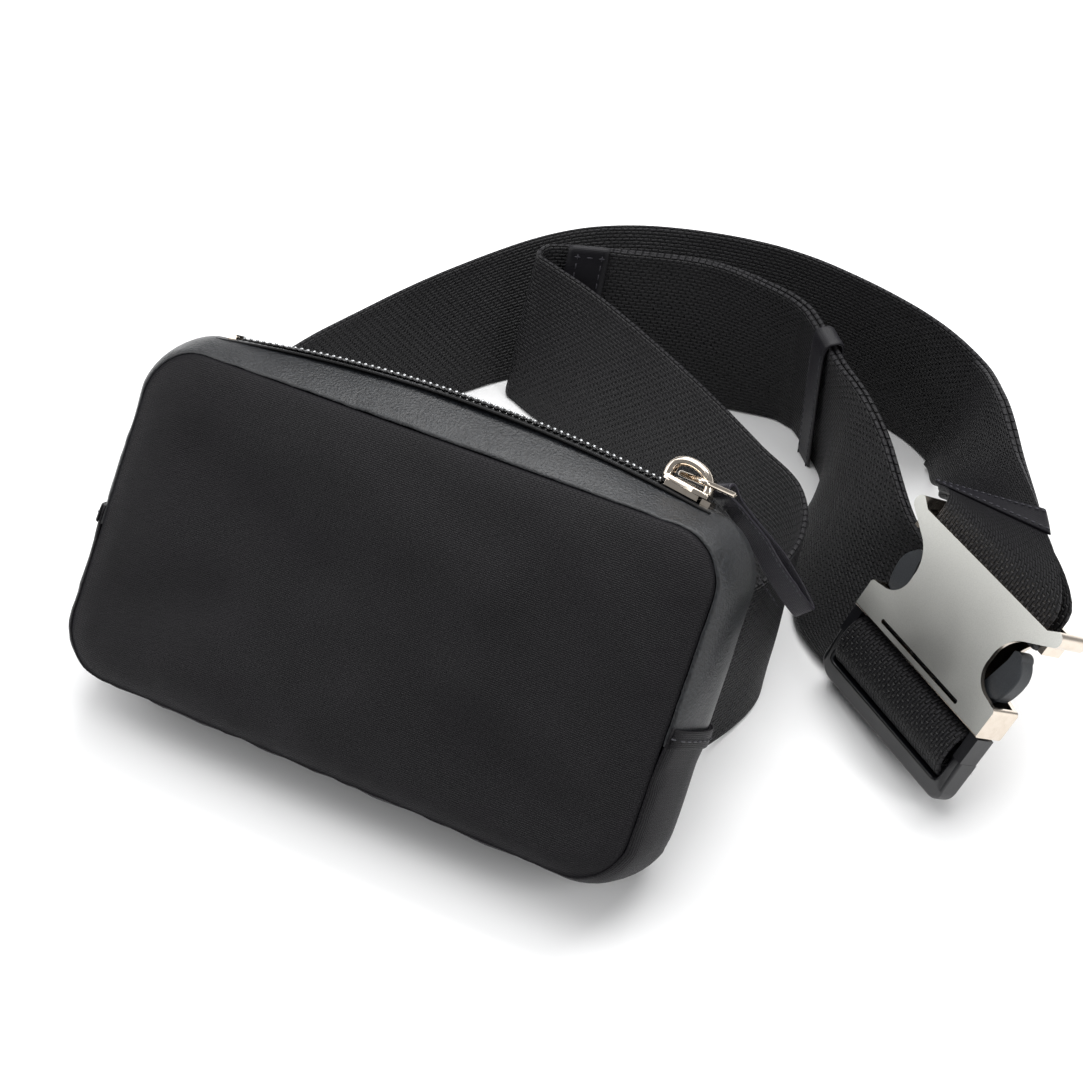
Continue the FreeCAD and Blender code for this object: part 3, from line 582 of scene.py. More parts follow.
def outline(d):
    """Four sides (bottom, right, top, left) of the pouch's outline at a depth, counter-clockwise."""
    a = HALF + along_curve(DEPTHS, BULGE, d)
    low = along_curve(DEPTHS, SAG, d)
    high = along_curve(DEPTHS, ROOF, d)
    arch = along_curve(DEPTHS, ARCH, d)
    r = CORNER + 4.0 * math.sin(math.pi * d / DEPTH)

    def corner(cx, cy, start):
        turns = [math.radians(start + 45.0 * k / ARC_STEPS) for k in range(ARC_STEPS + 1)]
        return [(cx + r * math.cos(t), cy + r * math.sin(t)) for t in turns]

    def line(p, q, steps):
        return [(p[0] + (q[0] - p[0]) * k / steps, p[1] + (q[1] - p[1]) * k / steps)
                for k in range(1, steps)]

    right, base, roof = a - r, low + r, high - r
    bottom = corner(-right, base, 225) + line((-right, low), (right, low), LONG_STEPS)
    bottom += corner(right, base, 270)
    side = corner(right, base, 315) + line((a, base), (a, HEM), LOW_STEPS)
    side += [(a, HEM)] + line((a, HEM), (a, roof), HIGH_STEPS) + corner(right, roof, 0)
    top_line = []
    for x, _ in line((right, high), (-right, high), LONG_STEPS):
        top_line.append((x, high + arch * (crown(right) - crown(abs(x)))))
    top_side = corner(right, roof, 45) + top_line + corner(-right, roof, 90)
    left = [(-x, h) for x, h in reversed(side)]
    return bottom, side, top_side, left


def ring_at(d):
    """Closed list of outline points at a depth, from the lower left corner."""
    points = []
    for side in outline(d):
        points += side[:-1]
    return points


print("panel", round(2 * HALF, 1), "mm wide, zip top", round(ZIP_TOP, 1), "mm up the face")

# %% [markdown]
# ## Panels
# The front is one piece of light twill, filled only by the lining behind it, so it stands a few
# millimetres proud, turns in sharply at the seam, and carries a few long soft folds. Here the folds
# are a short list of creases, each a line with a width and a depth, laid over a low ripple.

# %% Front and back panels
FOLDS = [
    ((-62, 70), (-20, 52), 10.0, -2.3),
    ((-30, 84), (28, 62), 11.0, 1.7),
    ((20, 30), (70, 14), 9.0, -2.2),
    ((-8, 12), (34, 38), 10.0, 1.6),
    ((-78, 24), (-44, 34), 9.0, -1.9),
    ((48, 84), (74, 58), 8.0, 1.6),
    ((-50, 8), (-20, 18), 7.0, 1.3),
]
SEAM_SINK = 0.7
CLOTH_T = 0.8


def fold_height(x, h):
    """Height of the folds at a place on the face, in millimetres."""
    total = 0.0
    for (x0, h0), (x1, h1), width, depth in FOLDS:
        ax, ah = x1 - x0, h1 - h0
        t = ((x - x0) * ax + (h - h0) * ah) / (ax * ax + ah * ah)
        near = min(max(t, 0.0), 1.0)
        gap = math.hypot(x - x0 - ax * near, h - h0 - ah * near)
        total += depth * math.exp(-(gap / width) ** 2)
    return total + 0.5 * noise.noise(Vector((x * 0.045, h * 0.06, 1.3)))


def pucker(x, h):
    """Small gathers that the stitching pulls beside a seam."""
    return noise.noise(Vector((x * 0.22, h * 0.22, 9.1)))


def side_point(side, t):
    """Point at a share t of a side's length of points."""
    place = t * (len(side) - 1)
    i = min(int(place), len(side) - 2)
    f = place - i
    return [side[i][k] * (1 - f) + side[i + 1][k] * f for k in (0, 1)]


def panel(name, d, outward, puff, crown_height, folds, material, node_names):
    """A panel filled in from its border, blown out a little and creased."""
    bottom, right, top_side, left = outline(d)
    middle = (0.0, TOP / 2)
    verts, uvs = [], []
    for j in range(NY + 1):
        for i in range(NX + 1):
            u, v = -1 + 2 * i / NX, -1 + 2 * j / NY
            m = max(abs(u), abs(v))
            if m < 1e-9:
                x, h = middle
            else:
                if abs(v) >= abs(u):
                    edge = bottom if v < 0 else top_side
                    t = (u / m + 1) / 2 if v < 0 else (1 - u / m) / 2
                else:
                    edge = right if u > 0 else left
                    t = (v / m + 1) / 2 if u > 0 else (1 - v / m) / 2
                ex, eh = side_point(edge, t)
                x, h = middle[0] + (ex - middle[0]) * m, middle[1] + (eh - middle[1]) * m
            inside = (1 - m) * TOP / 2
            held = 1 - math.exp(-inside / 2.6)
            out = -SEAM_SINK + (puff + SEAM_SINK) * held + crown_height * (1 - m * m)
            out += folds * fold_height(x, h) * (1 - math.exp(-inside / 7.0))
            out += 0.35 * pucker(x, h) * math.exp(-((inside - 3.0) / 3.0) ** 2)
            verts.append(leaned(x, d + outward * out, h))
            uvs.append((x * MM, h * MM))
    faces = grid_faces(NY + 1, NX + 1)
    if outward > 0:
        faces = [tuple(reversed(f)) for f in faces]
    piece = to_piece(name, verts, faces, uvs, material, "pack")
    finer = piece.modifiers.new("finer cloth", "SUBSURF")
    finer.levels = finer.render_levels = 1
    thicken(piece, CLOTH_T)
    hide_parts(*node_names)
    return piece


front = panel("pouch_front", 0.0, -1, 2.0, 1.4, 1.0, TWILL,
              ["front_panel", "front_lining"])
back = panel("pouch_back", DEPTH, 1, 0.3, 0.3, 0.0, TWILL,
             ["back_panel", "back_padding"])
print("panel points", len(front.data.vertices), "front stands", round(-front.bound_box[0][1] / MM, 1))

# %% [markdown]
# ## Gussets
# The strip between the panels is two cloths. The lower one is twill and goes round the bottom from
# hem to hem. The upper one is coated, runs over both corners, and is slit for the zip, where its
# edges are turned under. The rows here are outlines at rising depths, so the strip is a real loft.

# %% Gusset strips
COUNT = len(ring_at(0.0))
RIGHT_HEM = NX + ARC_STEPS + LOW_STEPS
LEFT_HEM = NX + NY + NX + NY - ARC_STEPS - LOW_STEPS
ZIP_HALF = 76.0
SLIT = 3.8
SEAM_IN = 0.6


def zip_share(x):
    """1 along the zip, easing to 0 past its ends."""
    return min(max((ZIP_HALF + 4.0 - abs(x)) / 4.0, 0.0), 1.0)


def gusset_point(column, d, push=0.0):
    """A point of the gusset with its small waves, pushed out from the middle of the pouch."""
    ring = ring_cache(d)
    x, h = ring[column % COUNT]
    px, ph = ring[(column - 1) % COUNT]
    qx, qh = ring[(column + 1) % COUNT]
    nx, nh = qh - ph, px - qx
    size = math.hypot(nx, nh)
    near_front = math.exp(-((d - 2.0) / 2.2) ** 2)
    wave = 0.45 * pucker(x, h) * near_front
    wave += 0.8 * noise.noise(Vector((x * 0.05, h * 0.05 + 4.0, d * 0.05))) * math.sin(math.pi * d / DEPTH)
    if h < 12:
        wave += 0.7 * noise.noise(Vector((x * 0.09, 2.0, d * 0.02))) * min(d / 3.0, 1.0)
    if h > TOP - 4:
        wave *= min(abs(d - MID) / 8.0, 1.0)
    push += wave
    return x + nx / size * push, h + nh / size * push


rings = {}


def ring_cache(d):
    """The outline at a depth, worked out once."""
    key = round(d, 3)
    if key not in rings:
        rings[key] = ring_at(min(max(d, 0.0), DEPTH))
    return rings[key]


def strip(name, columns, halves, material, nodes, lift, rows):
    """A gusset piece; each half is (seam depth, inner depth at a place, sense of its turned edge)."""
    verts, uvs, faces = [], [], []
    for near, far, sense in halves:
        first = len(verts)
        along = 0.0
        previous = None
        for c in columns:
            x0, h0 = ring_cache(MID)[c % COUNT]
            if previous:
                along += math.hypot(x0 - previous[0], h0 - previous[1])
            previous = (x0, h0)
            share = zip_share(x0) if h0 > TOP - 4 and sense else 0.0
            reach = far(share)
            for k in range(rows + 1):
                d = near + (reach - near) * k / rows
                x, h = gusset_point(c, d, lift(h0))
                verts.append(leaned(x, d, h))
                uvs.append((along * MM, d * MM))
            if sense:
                for over, down in ((0.45, 0.4), (0.5, 1.2), (0.1, 2.0)):
                    x, h = gusset_point(c, reach, lift(h0) - down * share)
                    verts.append(leaned(x, reach + sense * over * share, h))
                    uvs.append((along * MM, (reach + sense * down) * MM))
        width = rows + 1 + (3 if sense else 0)
        patch = grid_faces(len(columns), width)
        if sense < 0:
            patch = [tuple(reversed(f)) for f in patch]
        faces += [tuple(v + first for v in f) for f in patch]
    piece = to_piece(name, verts, faces, uvs, material, None)
    work = bmesh.new()
    work.from_mesh(piece.data)
    bmesh.ops.remove_doubles(work, verts=work.verts, dist=2e-5)
    bmesh.ops.dissolve_degenerate(work, edges=work.edges, dist=1e-6)
    work.to_mesh(piece.data)
    work.free()
    face_outwards(piece)
    outside = piece.data.polygons[len(piece.data.polygons) // 3]
    centre = leaned(0, MID, TOP / 2) * MM
    if (outside.center - centre).dot(outside.normal) < 0:
        piece.data.flip_normals()
    thicken(piece, CLOTH_T)
    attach(piece, "pack")
    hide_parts(*nodes)
    return piece


upper_columns = list(range(RIGHT_HEM - 2, LEFT_HEM + 3))
lower_columns = list(range(LEFT_HEM, COUNT + RIGHT_HEM + 1))
upper = strip("gusset_upper_cloth", upper_columns,
              [(SEAM_IN, lambda share: MID - SLIT * share, 1),
               (DEPTH - SEAM_IN, lambda share: MID + SLIT * share, -1)],
              COATED, ["gusset_upper_front", "gusset_upper_rear"], lambda h: 0.0, 16)
lower = strip("gusset_lower_cloth", lower_columns, [(SEAM_IN, lambda share: DEPTH - SEAM_IN, 0)], TWILL,
              ["gusset_lower"], lambda h: 0.9 * min(max((h - 36) / 8, 0), 1), 30)
print("gusset points", len(upper.data.vertices), len(lower.data.vertices))

# %% [markdown]
# ## Trims on the belt
# Four small sewn parts finish the belt: the webbing roll in the moulded end, the smooth tab that
# caps the free tail, the keeper that holds the tail flat, and the binding over the sewn-down fold.
# They are bands too, so they share the builder above.

# %% Roll, tab, keeper and binding
def curve_through(points, steps, closed=False):
    """Smooth points on a curve through the given ones."""
    n = len(points)
    out = []
    for i in range(n if closed else n - 1):
        if closed:
            a, b, c, d = (points[(i + k) % n] for k in (-1, 0, 1, 2))
        else:
            a, b, c, d = (points[min(max(i + k, 0), n - 1)] for k in (-1, 0, 1, 2))
        out += [spline(a, b, c, d, k / steps) for k in range(steps)]
    return out if closed else out + [points[-1]]


ROLL = [(-17.2, -8.8), (-17.0, -6.2), (-15.8, -2.6), (-12.8, 0.0), (-9.2, 0.7), (-5.2, 0.2),
        (-2.4, -1.8), (-1.3, -5.0), (-1.3, -8.4), (-3.0, -10.6), (-9.2, -11.3), (-15.4, -10.8)]
roll_rows = [(in_buckle(-25.6, p.y, p.z), in_buckle(25.6, p.y, p.z))
             for p in curve_through([Vector((0, y, z)) for y, z in ROLL], 5, closed=True)]
roll = band("belt_roll", roll_rows, WEBBING, "pack", closed=True, floor=False)
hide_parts("strap_roll")

tab_rows = RIGHT_ROWS[TAIL_START * PER_SPAN + 2:TAIL_START * PER_SPAN + 10]
TAB_T = 2.5
TAB_OFFSET = TAIL_OFFSET + 0.1
tab = band("tail_tab", tab_rows, TRIM, "pack", offset=TAB_OFFSET, thick=TAB_T, grow=0.5)
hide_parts("strap_tail_tab")

keep_low = RIGHT_ROWS[KEEP_FROM * PER_SPAN][0]
keep_run = (RIGHT_ROWS[(KEEP_FROM + 1) * PER_SPAN][0] - keep_low)
keep_mid = keep_low + keep_run / 2
keep_run.normalize()
keep_out = keep_run.cross(Vector((0, 0, 1)))
KEEPER_HALF = 4.5
KEEPER_BACK = -2.3
KEEPER_FRONT = 4.2
KEEPER_TOP = 51.6
keeper_path = [(KEEPER_FRONT, 0.6), (KEEPER_FRONT, 16), (KEEPER_FRONT, 34), (KEEPER_FRONT - 0.1, 46),
               (KEEPER_FRONT - 0.7, 50.2), (2.6, 51.5), (1.0, KEEPER_TOP + 0.2), (-0.8, 51.5),
               (-2.0, 50.0), (KEEPER_BACK, 46), (KEEPER_BACK, 34), (KEEPER_BACK, 16), (KEEPER_BACK, 0.6)]
keeper_line = curve_through([keep_mid + keep_out * n + Vector((0, 0, z)) for n, z in keeper_path], 4)
keeper_rows = [(p - keep_run * KEEPER_HALF, p + keep_run * KEEPER_HALF) for p in keeper_line]
keeper = band("belt_keeper", keeper_rows, TRIM, "keeper", thick=1.1)
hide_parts("keeper_loop")

BINDING_WIDE = 9.5
BINDING_OUT = 3.45
BINDING_STEPS = 8


def before_end(line, distance):
    """A point on a line of points, at a distance back from its end."""
    for a, b in zip(reversed(line[:-1]), reversed(line[1:])):
        if (b - a).length >= distance:
            return b + (a - b).normalized() * distance
        distance -= (b - a).length
    return line[0]


left_low = [low for low, high in LEFT_ROWS]
left_high = [high for low, high in LEFT_ROWS]
binding_out = facing(LEFT_ROWS)[-1] * BINDING_OUT
binding_rows = []
for k in range(BINDING_STEPS + 1):
    back = BINDING_WIDE * (1 - k / BINDING_STEPS)
    binding_rows.append((before_end(left_low, back) + binding_out, before_end(left_high, back) + binding_out))
binding = band("fold_binding", binding_rows, TRIM, "female_end", thick=0.9, grow=1.3)
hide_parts("strap_left_binding")
print("keeper and binding faces", len(keeper.data.polygons), len(binding.data.polygons))

# %% [markdown]
# ## The zip
# The zip follows one long arc. Its two tapes are thin bands under the turned edges of the coated
# cloth. Teeth are hundreds of equal small shapes on a line, which is what a node tree is for: it
# places one oval at even steps along a curve, turns it to the line, and makes the copies real. The
# heads of one row are bright plated metal; the other row's heads lie lower in the gaps between them
# and are given the black coil finish as painted shade.

# %% A tree that repeats a small shape along curves
def repeat_tree():
    """Node group: ovals of a size at a spacing along a curve, slanted about their own upright."""
    tree = bpy.data.node_groups.new("repeat along a curve", "GeometryNodeTree")
    inputs = {"Geometry": "Geometry", "Spacing": "Float", "Size": "Vector", "Upright": "Vector",
              "Slant": "Float", "Finish": "Material"}
    for label, kind in inputs.items():
        tree.interface.new_socket(label, in_out="INPUT", socket_type="NodeSocket" + kind)
    tree.interface.new_socket("Geometry", in_out="OUTPUT", socket_type="NodeSocketGeometry")
    given = add(tree, "NodeGroupInput")
    points = add(tree, "GeometryNodeResampleCurve",
                 [("Curve", given.outputs["Geometry"]), ("Length", given.outputs["Spacing"])], mode="LENGTH")
    tangent = add(tree, "GeometryNodeInputTangent")
    along = add(tree, "FunctionNodeAlignRotationToVector", [("Vector", tangent.outputs[0])], axis="X")
    upright = add(tree, "FunctionNodeAlignRotationToVector",
                  [("Rotation", along.outputs[0]), ("Vector", given.outputs["Upright"])],
                  axis="Z", pivot_axis="X")
    spin = add(tree, "FunctionNodeAxisAngleToRotation", [("Angle", given.outputs["Slant"])],
               [("Axis", (0.0, 0.0, 1.0))])
    turned = add(tree, "FunctionNodeRotateRotation",
                 [("Rotation", upright.outputs[0]), ("Rotate By", spin.outputs[0])], rotation_space="LOCAL")
    oval = add(tree, "GeometryNodeMeshUVSphere", [], [("Segments", 8), ("Rings", 5), ("Radius", 0.5)])
    placed = add(tree, "GeometryNodeInstanceOnPoints", [
        ("Points", points.outputs[0]), ("Instance", oval.outputs["Mesh"]),
        ("Rotation", turned.outputs[0]), ("Scale", given.outputs["Size"])])
    real = add(tree, "GeometryNodeRealizeInstances", [("Geometry", placed.outputs[0])])
    smooth = add(tree, "GeometryNodeSetShadeSmooth", [("Geometry", real.outputs[0])])
    finish = add(tree, "GeometryNodeSetMaterial",
                 [("Geometry", smooth.outputs[0]), ("Material", given.outputs["Finish"])])
    add(tree, "NodeGroupOutput", [("Geometry", finish.outputs[0])])
    return tree


REPEAT = repeat_tree()


def repeated(name, lines, spacing, size, material, body, upright=(0, 0, 1), slant=0.0):
    """Ovals along lines given in millimetres, as one plain mesh that rides on a body."""
    curve = bpy.data.curves.new(name + "_line", "CURVE")
    curve.dimensions = "3D"
    for line in lines:
        spline = curve.splines.new("POLY")
        spline.points.add(len(line) - 1)
        for point, place in zip(spline.points, line):
            point.co = (*(Vector(place) * MM), 1.0)
    source = placed(name + "_line", curve)
    modifier = source.modifiers.new("repeat", "NODES")
    modifier.node_group = REPEAT
    given = {"Spacing": spacing * MM, "Size": tuple(v * MM for v in size), "Upright": tuple(upright),
             "Slant": slant, "Finish": material}
    for item in REPEAT.interface.items_tree:
        if item.item_type == "SOCKET" and item.in_out == "INPUT" and item.name in given:
            modifier[item.identifier] = given[item.name]
    shown = source.evaluated_get(bpy.context.evaluated_depsgraph_get())
    mesh = bpy.data.meshes.new_from_object(shown)
    mesh.name = name
    bpy.data.objects.remove(source)
    piece = placed(name, mesh)
    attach(piece, body)
    return piece


def on_track(x, across, rise, beside=0.0):
    """World place by the zip's arc: at x, across the zip, above it, and along its tangent."""
    turn = math.asin(x / ARCH_R)
    r = ARCH_R + rise
    h = ZIP_TOP - ARCH_R + r * math.cos(turn) - beside * math.sin(turn)
    return leaned(r * math.sin(turn) + beside * math.cos(turn), MID + across, h)


ZIP_UP = (leaned(0, MID, 1) - leaned(0, MID, 0)).normalized()
PITCH = 2.0
TOOTH_END = ZIP_HALF - 6.0


def track_line(across, rise, shift=0.0):
    """Points along the zip at one distance from its middle."""
    count = int(2 * TOOTH_END / 4)
    xs = [-TOOTH_END + shift + (2 * TOOTH_END - 2 * shift) * k / count for k in range(count + 1)]
    return [on_track(x, across, rise) for x in xs]


for side, sign in (("front", -1), ("rear", 1)):
    xs = [-ZIP_HALF + 0.4 + (2 * ZIP_HALF - 0.8) * k / 60 for k in range(61)]
    inner = [on_track(x, sign * 0.9, -0.4) for x in xs]
    outer = [on_track(x, sign * 6.8, -0.4) for x in xs]
    rows = list(zip(inner, outer))
    tape = band("zip_tape_" + side + "_cloth", rows, ZIP_TAPE, "pack", thick=0.7, floor=False)
    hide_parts("zip_tape_" + side)
    # The rear row's heads take the black coil finish instead of the plated metal, as painted shade in the
    # gaps.
    rise, shift, finish = (1.1, 0.0, TOOTH) if sign < 0 else (0.6, PITCH / 2, COIL)
    heads = repeated("zip_heads_" + side, [track_line(sign * 0.15, rise, shift)], PITCH,
                     (1.05, 2.0, 1.0), finish, "pack", ZIP_UP, math.radians(28))
    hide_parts("zip_teeth_" + side)
    repeated("zip_coil_" + side, [track_line(sign * 2.0, 0.65, 0.0 if sign > 0 else PITCH / 2)],
             PITCH, (1.25, 2.2, 1.2), COIL, "pack", ZIP_UP, math.radians(8 * sign))
print("tooth faces", len(heads.data.polygons))

# %% [markdown]
# ## Slider loop and pull tape
# The pull is a short satin tape folded through a wire ring: gathered and sewn at the ring, then
# open as a small loop. One closed path gives the folded tape, and its width turns a little along
# the way, because a sewn tape never hangs square. The slider's bridge is a bent strip of rounded
# metal, swept along an arch.

# %% Pull tape
RING_YAW, RING_TILT, TAPE_TILT, RING_LEN = 50.0, 5.0, 29.0, 12.0
SLIDER_X = 66.0
PIN_BESIDE, PIN_RISE = -0.8, 5.2


def on_pouch(v):
    """An upright direction turned with the pouch."""
    x, d, h = v
    return Vector((x, LEAN * (h + d), LEAN * (h - d)))


def ring_ray(tilt):
    """Direction square to the ring's pin, tilted down from the zip's plane."""
    yaw, t = math.radians(RING_YAW), math.radians(tilt)
    return on_pouch((math.cos(yaw) * math.cos(t), math.sin(yaw) * math.cos(t), -math.sin(t)))


ring_pivot = on_track(SLIDER_X, 0.0, PIN_RISE, PIN_BESIDE)
ring_axis = on_pouch((-math.sin(math.radians(RING_YAW)), math.cos(math.radians(RING_YAW)), 0))
tape_along = ring_ray(RING_TILT + TAPE_TILT)
tape_out = tape_along.cross(ring_axis).normalized()
grip = ring_pivot + ring_ray(RING_TILT) * RING_LEN
TAPE_SIDE = [(0.0, 1.75), (2.2, 1.25), (5.0, 0.75), (10.0, 0.72), (15.5, 0.72), (20.0, 1.2), (26.0, 2.4),
             (32.0, 3.0), (38.0, 2.8), (42.5, 1.9), (45.2, 0.9)]
TAPE_HALF_W = 4.3
tape_shape = [(-1.2, 1.25), *TAPE_SIDE, (46.0, 0.0), *[(a, -c) for a, c in reversed(TAPE_SIDE)],
              (-1.2, -1.25), (-1.75, 0.0)]
tape_line = curve_through([Vector((a, 0, c)) for a, c in tape_shape], 3, closed=True)


def tape_frame(a):
    """Across and outward directions of the tape at a distance from the ring."""
    twist = -math.radians(22.0 + 30.0 * min(max((a - 4.0) / 30.0, 0.0), 1.0))
    turned = Matrix.Rotation(twist, 3, tape_along)
    return turned @ ring_axis, turned @ tape_out


def tape_point(a, c, w):
    """A place on the tape: along it, out of its middle plane, and across it."""
    across, out = tape_frame(a)
    gather = 0.72 + 0.28 * min(max((a - 4.0) / 14.0, 0.0), 1.0)
    return grip + tape_along * a + out * c + across * w * gather


tape_rows = [(tape_point(p.x, p.z, -TAPE_HALF_W), tape_point(p.x, p.z, TAPE_HALF_W)) for p in tape_line]
pull = band("pull_tape_satin", tape_rows, PULL_TAPE, "pull_tape", thick=1.0, closed=True,
            floor=False)
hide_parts("pull_tape_head", "pull_tape_loop")
print("ring pivot", [round(v, 1) for v in ring_pivot], "tape faces", len(pull.data.polygons))


# %% [markdown]
# ## The slider's bridge
# The pull's wire ring hangs from a cast arch on top of the slider. It is wide at its two feet and
# narrow at its crest, so a rounded section is swept along a smooth arc and its width eased.

# %% Slider bridge
def swept(name, line, widths, height, side, material, body, sides=16):
    """A rounded bar along a line, with its own width at each point."""
    verts, uvs = [], []
    for i, p in enumerate(line):
        run = (line[min(i + 1, len(line) - 1)] - line[max(i - 1, 0)]).normalized()
        out = run.cross(side).normalized()
        for k in range(sides):
            a = 2 * math.pi * k / sides
            c, t = math.cos(a), math.sin(a)
            squared = (abs(c) ** 3 + abs(t) ** 3) ** (-1 / 3)
            verts.append(p + side * c * squared * widths[i] / 2 + out * t * squared * height / 2)
            uvs.append((k / sides * 0.01, i * MM))
    faces = grid_faces(len(line), sides, closed=True)
    faces.append(tuple(range(sides)))
    faces.append(tuple(reversed(range((len(line) - 1) * sides, len(line) * sides))))
    piece = to_piece(name, verts, faces, uvs, material, None)
    face_outwards(piece)
    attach(piece, body)
    return piece


ARCHED = [(-6.4, 2.6), (-6.5, 5.0), (-5.6, 7.2), (-3.4, 8.4), (-0.8, 8.6), (2.0, 8.0), (4.2, 6.4),
          (5.2, 4.4), (5.2, 2.6)]


FOOT_W, CREST_W, ARCH_T = 5.2, 4.0, 2.6
bridge_line = curve_through([on_track(SLIDER_X, 0, rise, beside) for beside, rise in ARCHED], 4)
last = len(bridge_line) - 1
bridge_w = [FOOT_W - (FOOT_W - CREST_W) * math.sin(math.pi * k / last) for k in range(last + 1)]
bridge = swept("slider_arch", bridge_line, bridge_w, ARCH_T, on_pouch((0, 1, 0)), POLISHED, "slider")
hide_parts("slider_bridge")

# %% [markdown]
# ## Sewing
# Stitches are short ovals of thread at even steps, so they use the same tree as the zip's teeth.
# Each line follows the cloth it holds: the hems of the lower gusset, the tab, the binding, the
# keeper, the pull, and a box where each side of the belt is sewn to the back.

# %% Stitches
def belt_line(rows, first, last, w, out):
    """Points along the belt at one place across it."""
    normals = facing(rows)
    return [rows[i][0] + (rows[i][1] - rows[i][0]).normalized() * w + normals[i] * out
            for i in range(first, last + 1)]


def cross_line(rows, i, w0, w1, out, steps=14):
    """Points across the belt at one row."""
    n = facing(rows)[i]
    low, high = rows[i]
    side = (high - low).normalized()
    return [low + side * (w0 + (w1 - w0) * k / steps) + n * out for k in range(steps + 1)]


HEM_FROM, HEM_LONG, HEM_T = 0.9, 33.2, 0.6


def gusset_line(column, lift):
    """Points across the gusset from the front seam to the back one."""
    out = []
    for k in range(25):
        d = HEM_FROM + HEM_LONG * k / 24
        x, h = gusset_point(column, d, lift)
        out.append(leaned(x, d, h))
    return out


STITCH = (2.1, 0.5, 0.5)
STITCH_STEP = 3.0
FINE_STEP, FINE_STITCH = 1.9, (1.3, 0.42, 0.4)
STITCH_IN = 0.8
WELT = 1.2
for side, top_column, low_column in (("right", RIGHT_HEM, RIGHT_HEM - 2),
                                     ("left", LEFT_HEM, LEFT_HEM + 2)):
    rows = list(zip(gusset_line(low_column, WELT), gusset_line(top_column, WELT)))
    hem = band("gusset_hem_fold_" + side, rows, TWILL, "pack", thick=HEM_T, floor=False)
    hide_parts("gusset_hem_" + side)
BIND_SIDE = 1.0 if facing(binding_rows)[0].dot(facing(LEFT_ROWS)[-1]) > 0 else -1.0
t0 = TAIL_START * PER_SPAN
tab_out = TAB_OFFSET + TAB_T / 2 + 0.05
anchor_end = PER_SPAN - 2
pack_lines = [gusset_line(column, WELT + HEM_T * 0.7) for column in (RIGHT_HEM - 1, LEFT_HEM + 1)]
pack_lines += [cross_line(RIGHT_ROWS, t0 + i, 3, 47, tab_out) for i in (4, 8)]
pack_lines.append(belt_line(RIGHT_ROWS, t0 + 4, t0 + 8, 47, tab_out))
for rows in (LEFT_ROWS, RIGHT_ROWS):
    out = WEB_T / 2 + 0.1
    if facing(rows)[0].dot(on_pouch((0, 1, 0))) < 0:
        out = -out
    pack_lines += [cross_line(rows, i, 4, 46, out) for i in (1, anchor_end)]
    pack_lines += [belt_line(rows, 1, anchor_end, w, out) for w in (4, 46)]
female_lines = [cross_line(binding_rows, i, 0, 50, 0.55 * BIND_SIDE, 18)
                for i in (1, BINDING_STEPS - 1)]
tape_side = curve_through([Vector((a, 0, c)) for a, c in TAPE_SIDE[2:9]], 3)
pull_lines = [[tape_point(p.x, -p.z - 0.5, w) for p in tape_side]
              for w in (STITCH_IN - TAPE_HALF_W, TAPE_HALF_W - STITCH_IN)]
keeper_lines = [[p + keep_out * 0.6 + keep_run * w for p in keeper_line[:13]]
                for w in (-KEEPER_HALF + 1.2, KEEPER_HALF - 1.2)]
repeated("sewing_pack", pack_lines, STITCH_STEP, STITCH, THREAD, "pack")
repeated("sewing_binding", female_lines, STITCH_STEP, STITCH, THREAD, "female_end")
repeated("sewing_pull", pull_lines, FINE_STEP, FINE_STITCH, THREAD, "pull_tape")
repeated("sewing_keeper", keeper_lines, STITCH_STEP, STITCH, THREAD, "keeper")
print("sewn lines", len(pack_lines) + len(female_lines) + len(pull_lines) + len(keeper_lines))

# %% [markdown]
# ## Hardware from the frame
# The solid model's hard parts have the right shape but knife edges, and a real casting or moulding
# never does. A copy of each is merged, its flat faces joined, and its edges rounded by a bevel.

# %% Rounded copies
def rounded(name, node, material, body, radius, segments=3, second=None, reshape=None):
    """A rounded copy of a CAD node; second is (material, test) for some of its faces."""
    work = bmesh.new()
    work.from_mesh(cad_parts[node].data)
    bmesh.ops.remove_doubles(work, verts=work.verts, dist=2e-6)
    bmesh.ops.dissolve_limit(work, angle_limit=math.radians(0.6), verts=work.verts, edges=work.edges)
    for vert in work.verts if reshape else ():
        vert.co = reshape(vert.co)
    mesh = bpy.data.meshes.new(name)
    work.to_mesh(mesh)
    work.free()
    mesh.materials.clear()
    mesh.materials.append(material)
    mesh.shade_smooth()
    piece = placed(name, mesh)
    bevel = piece.modifiers.new("rounded edges", "BEVEL")
    bevel.width = radius * MM
    bevel.segments = segments
    bevel.limit_method = "ANGLE"
    bevel.angle_limit = math.radians(28)
    bevel.use_clamp_overlap = True
    normals = piece.modifiers.new("flat faces stay flat", "WEIGHTED_NORMAL")
    normals.weight = 90
    shown = piece.evaluated_get(bpy.context.evaluated_depsgraph_get())
    baked = bpy.data.meshes.new_from_object(shown)
    piece.modifiers.clear()
    piece.data = baked
    baked.name = name
    if second:
        baked.materials.append(second[0])
        for face in baked.polygons:
            if second[1](face):
                face.material_index = 1
    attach(piece, body)
    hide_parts(node)
    return piece


def on_face(face):
    """True on the metal end's flat outer face."""
    return face.normal.dot(FACE) > 0.995 and (face.center / MM - BUCKLE_AT).dot(FACE) > -0.3


def sloped_end(co):
    """A vertex of the end bar, lowered where the bar's top slopes down to its outer edge."""
    p = co / MM - BUCKLE_AT
    outward = -18.0 - p.dot(LONG)
    if p.dot(FACE) < -3.0 or outward < 0:
        return co
    return co - FACE * MM * 3.0 * min(outward / 6.0, 1.0)


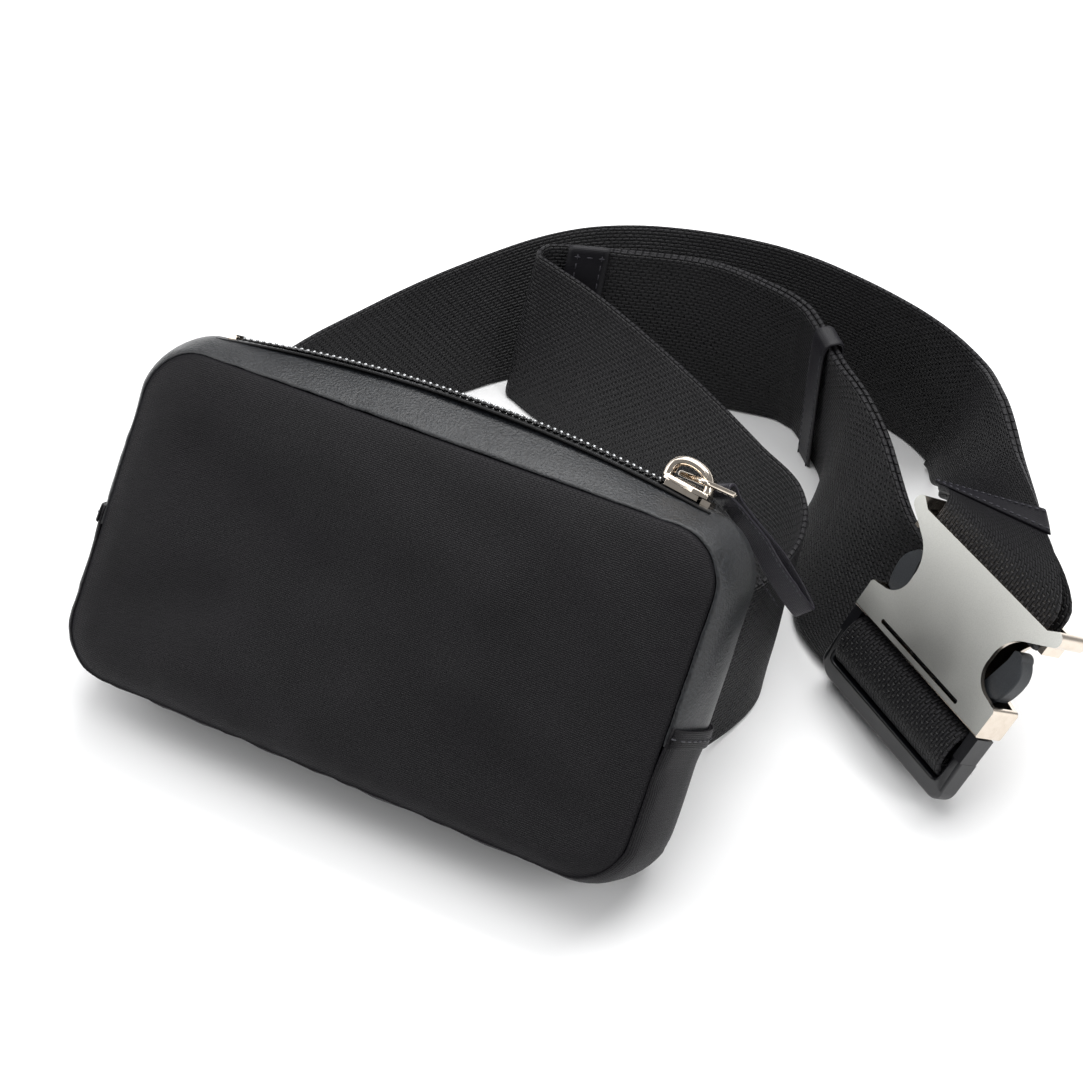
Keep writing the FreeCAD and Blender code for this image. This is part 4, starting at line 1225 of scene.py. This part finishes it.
shell = rounded("buckle_metal_end", "buckle_shell", POLISHED, "female_end", 0.75, 4,
                second=(SATIN, on_face))
rounded("buckle_inner_bar", "buckle_shell_bar", POLISHED, "female_end", 0.2)
rounded("buckle_end_bar", "male_end_bar", PLASTIC, "pack", 1.3, 4, reshape=sloped_end)
rounded("buckle_frame", "male_frame", PLASTIC, "pack", 0.4, 2)
rounded("buckle_web_bar", "male_web_bar", PLASTIC, "pack", 0.3, 2)
for side in ("left", "right"):
    rounded("prong_pad_" + side, "prong_" + side, PAD, "prong_" + side, 0.5)
rounded("slider_cap", "slider_body", POLISHED, "slider", 0.8, 4)
for node in ("pull_ring", "zip_stops"):
    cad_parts[node].data.materials.clear()
    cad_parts[node].data.materials.append(POLISHED)
print("metal end faces", len(shell.data.polygons))

# %% [markdown]
# ## Camera
# The pack lies on a pale table and is seen from above and to the right, with a long lens, which keeps
# the near and the far side of the belt close in size.

# %% Camera
camera = placed("camera", bpy.data.cameras.new("camera"))
ahead = Vector((-0.307105, 0.608120, -0.732036)).normalized()
right_hand = Vector((0.892632, 0.450786, 0.0)).normalized()
upward = right_hand.cross(ahead)
camera.matrix_world = Matrix.Translation((0.1988, -0.2865, 0.4602)) @ Matrix(
    (right_hand, upward, -ahead)).transposed().to_4x4()
camera.data.lens = 66.92
camera.data.sensor_width = 36.0
camera.data.clip_start = 0.01
bpy.context.scene.camera = camera
print("lens", round(camera.data.lens, 1), "mm")

# %% [markdown]
# ## Floor and light
# A big soft box above and behind gives the broad highlights on the coated cloth and the webbing's
# edges. The satin face of the metal end mirrors the box on the left, and the others only fill.

# %% Floor and lights
floor_mesh = bpy.data.meshes.new("floor")
reach = 3.0
floor_mesh.from_pydata([(-reach, -reach, 0), (reach, -reach, 0), (reach, reach, 0), (-reach, reach, 0)],
                       [], [(0, 1, 2, 3)])
floor = placed("floor", floor_mesh)
paper, _, paper_shader = finish_of("white paper sweep", 0.85)
paper_shader.inputs["Base Color"].default_value = linear("#f7f7f7")
floor_mesh.materials.append(paper)


def soft_box(name, place, aim, size, watts):
    """A square area light that looks at a point."""
    light = placed(name, bpy.data.lights.new(name, "AREA"))
    light.data.shape = "RECTANGLE"
    light.data.size, light.data.size_y = size
    light.data.energy = watts
    light.location = place
    light.rotation_euler = (Vector(aim) - Vector(place)).to_track_quat("-Z", "Y").to_euler()


soft_box("top soft box", (0.05, 0.8, 0.95), (0.0, 0.08, 0.0), (1.2, 0.6), 14.0)
soft_box("right soft box", (1.0, -0.1, 0.6), (0.0, 0.05, 0.0), (0.25, 0.7), 4.5)
soft_box("left soft box", (-0.75, -0.22, 0.56), (0.13, 0.08, 0.04), (0.9, 0.6), 4.6)
soft_box("overhead fill", (-0.3, 0.2, 1.5), (0.0, 0.05, 0.0), (1.3, 1.3), 13.0)
world = bpy.data.worlds.new("studio")
bpy.context.scene.world = world
world.use_nodes = True
world.node_tree.nodes["Background"].inputs["Color"].default_value = linear("#f2f3f5")
world.node_tree.nodes["Background"].inputs["Strength"].default_value = 0.33
bpy.context.scene.view_settings.view_transform = "Standard"
print("area lights", len(bpy.data.lights))
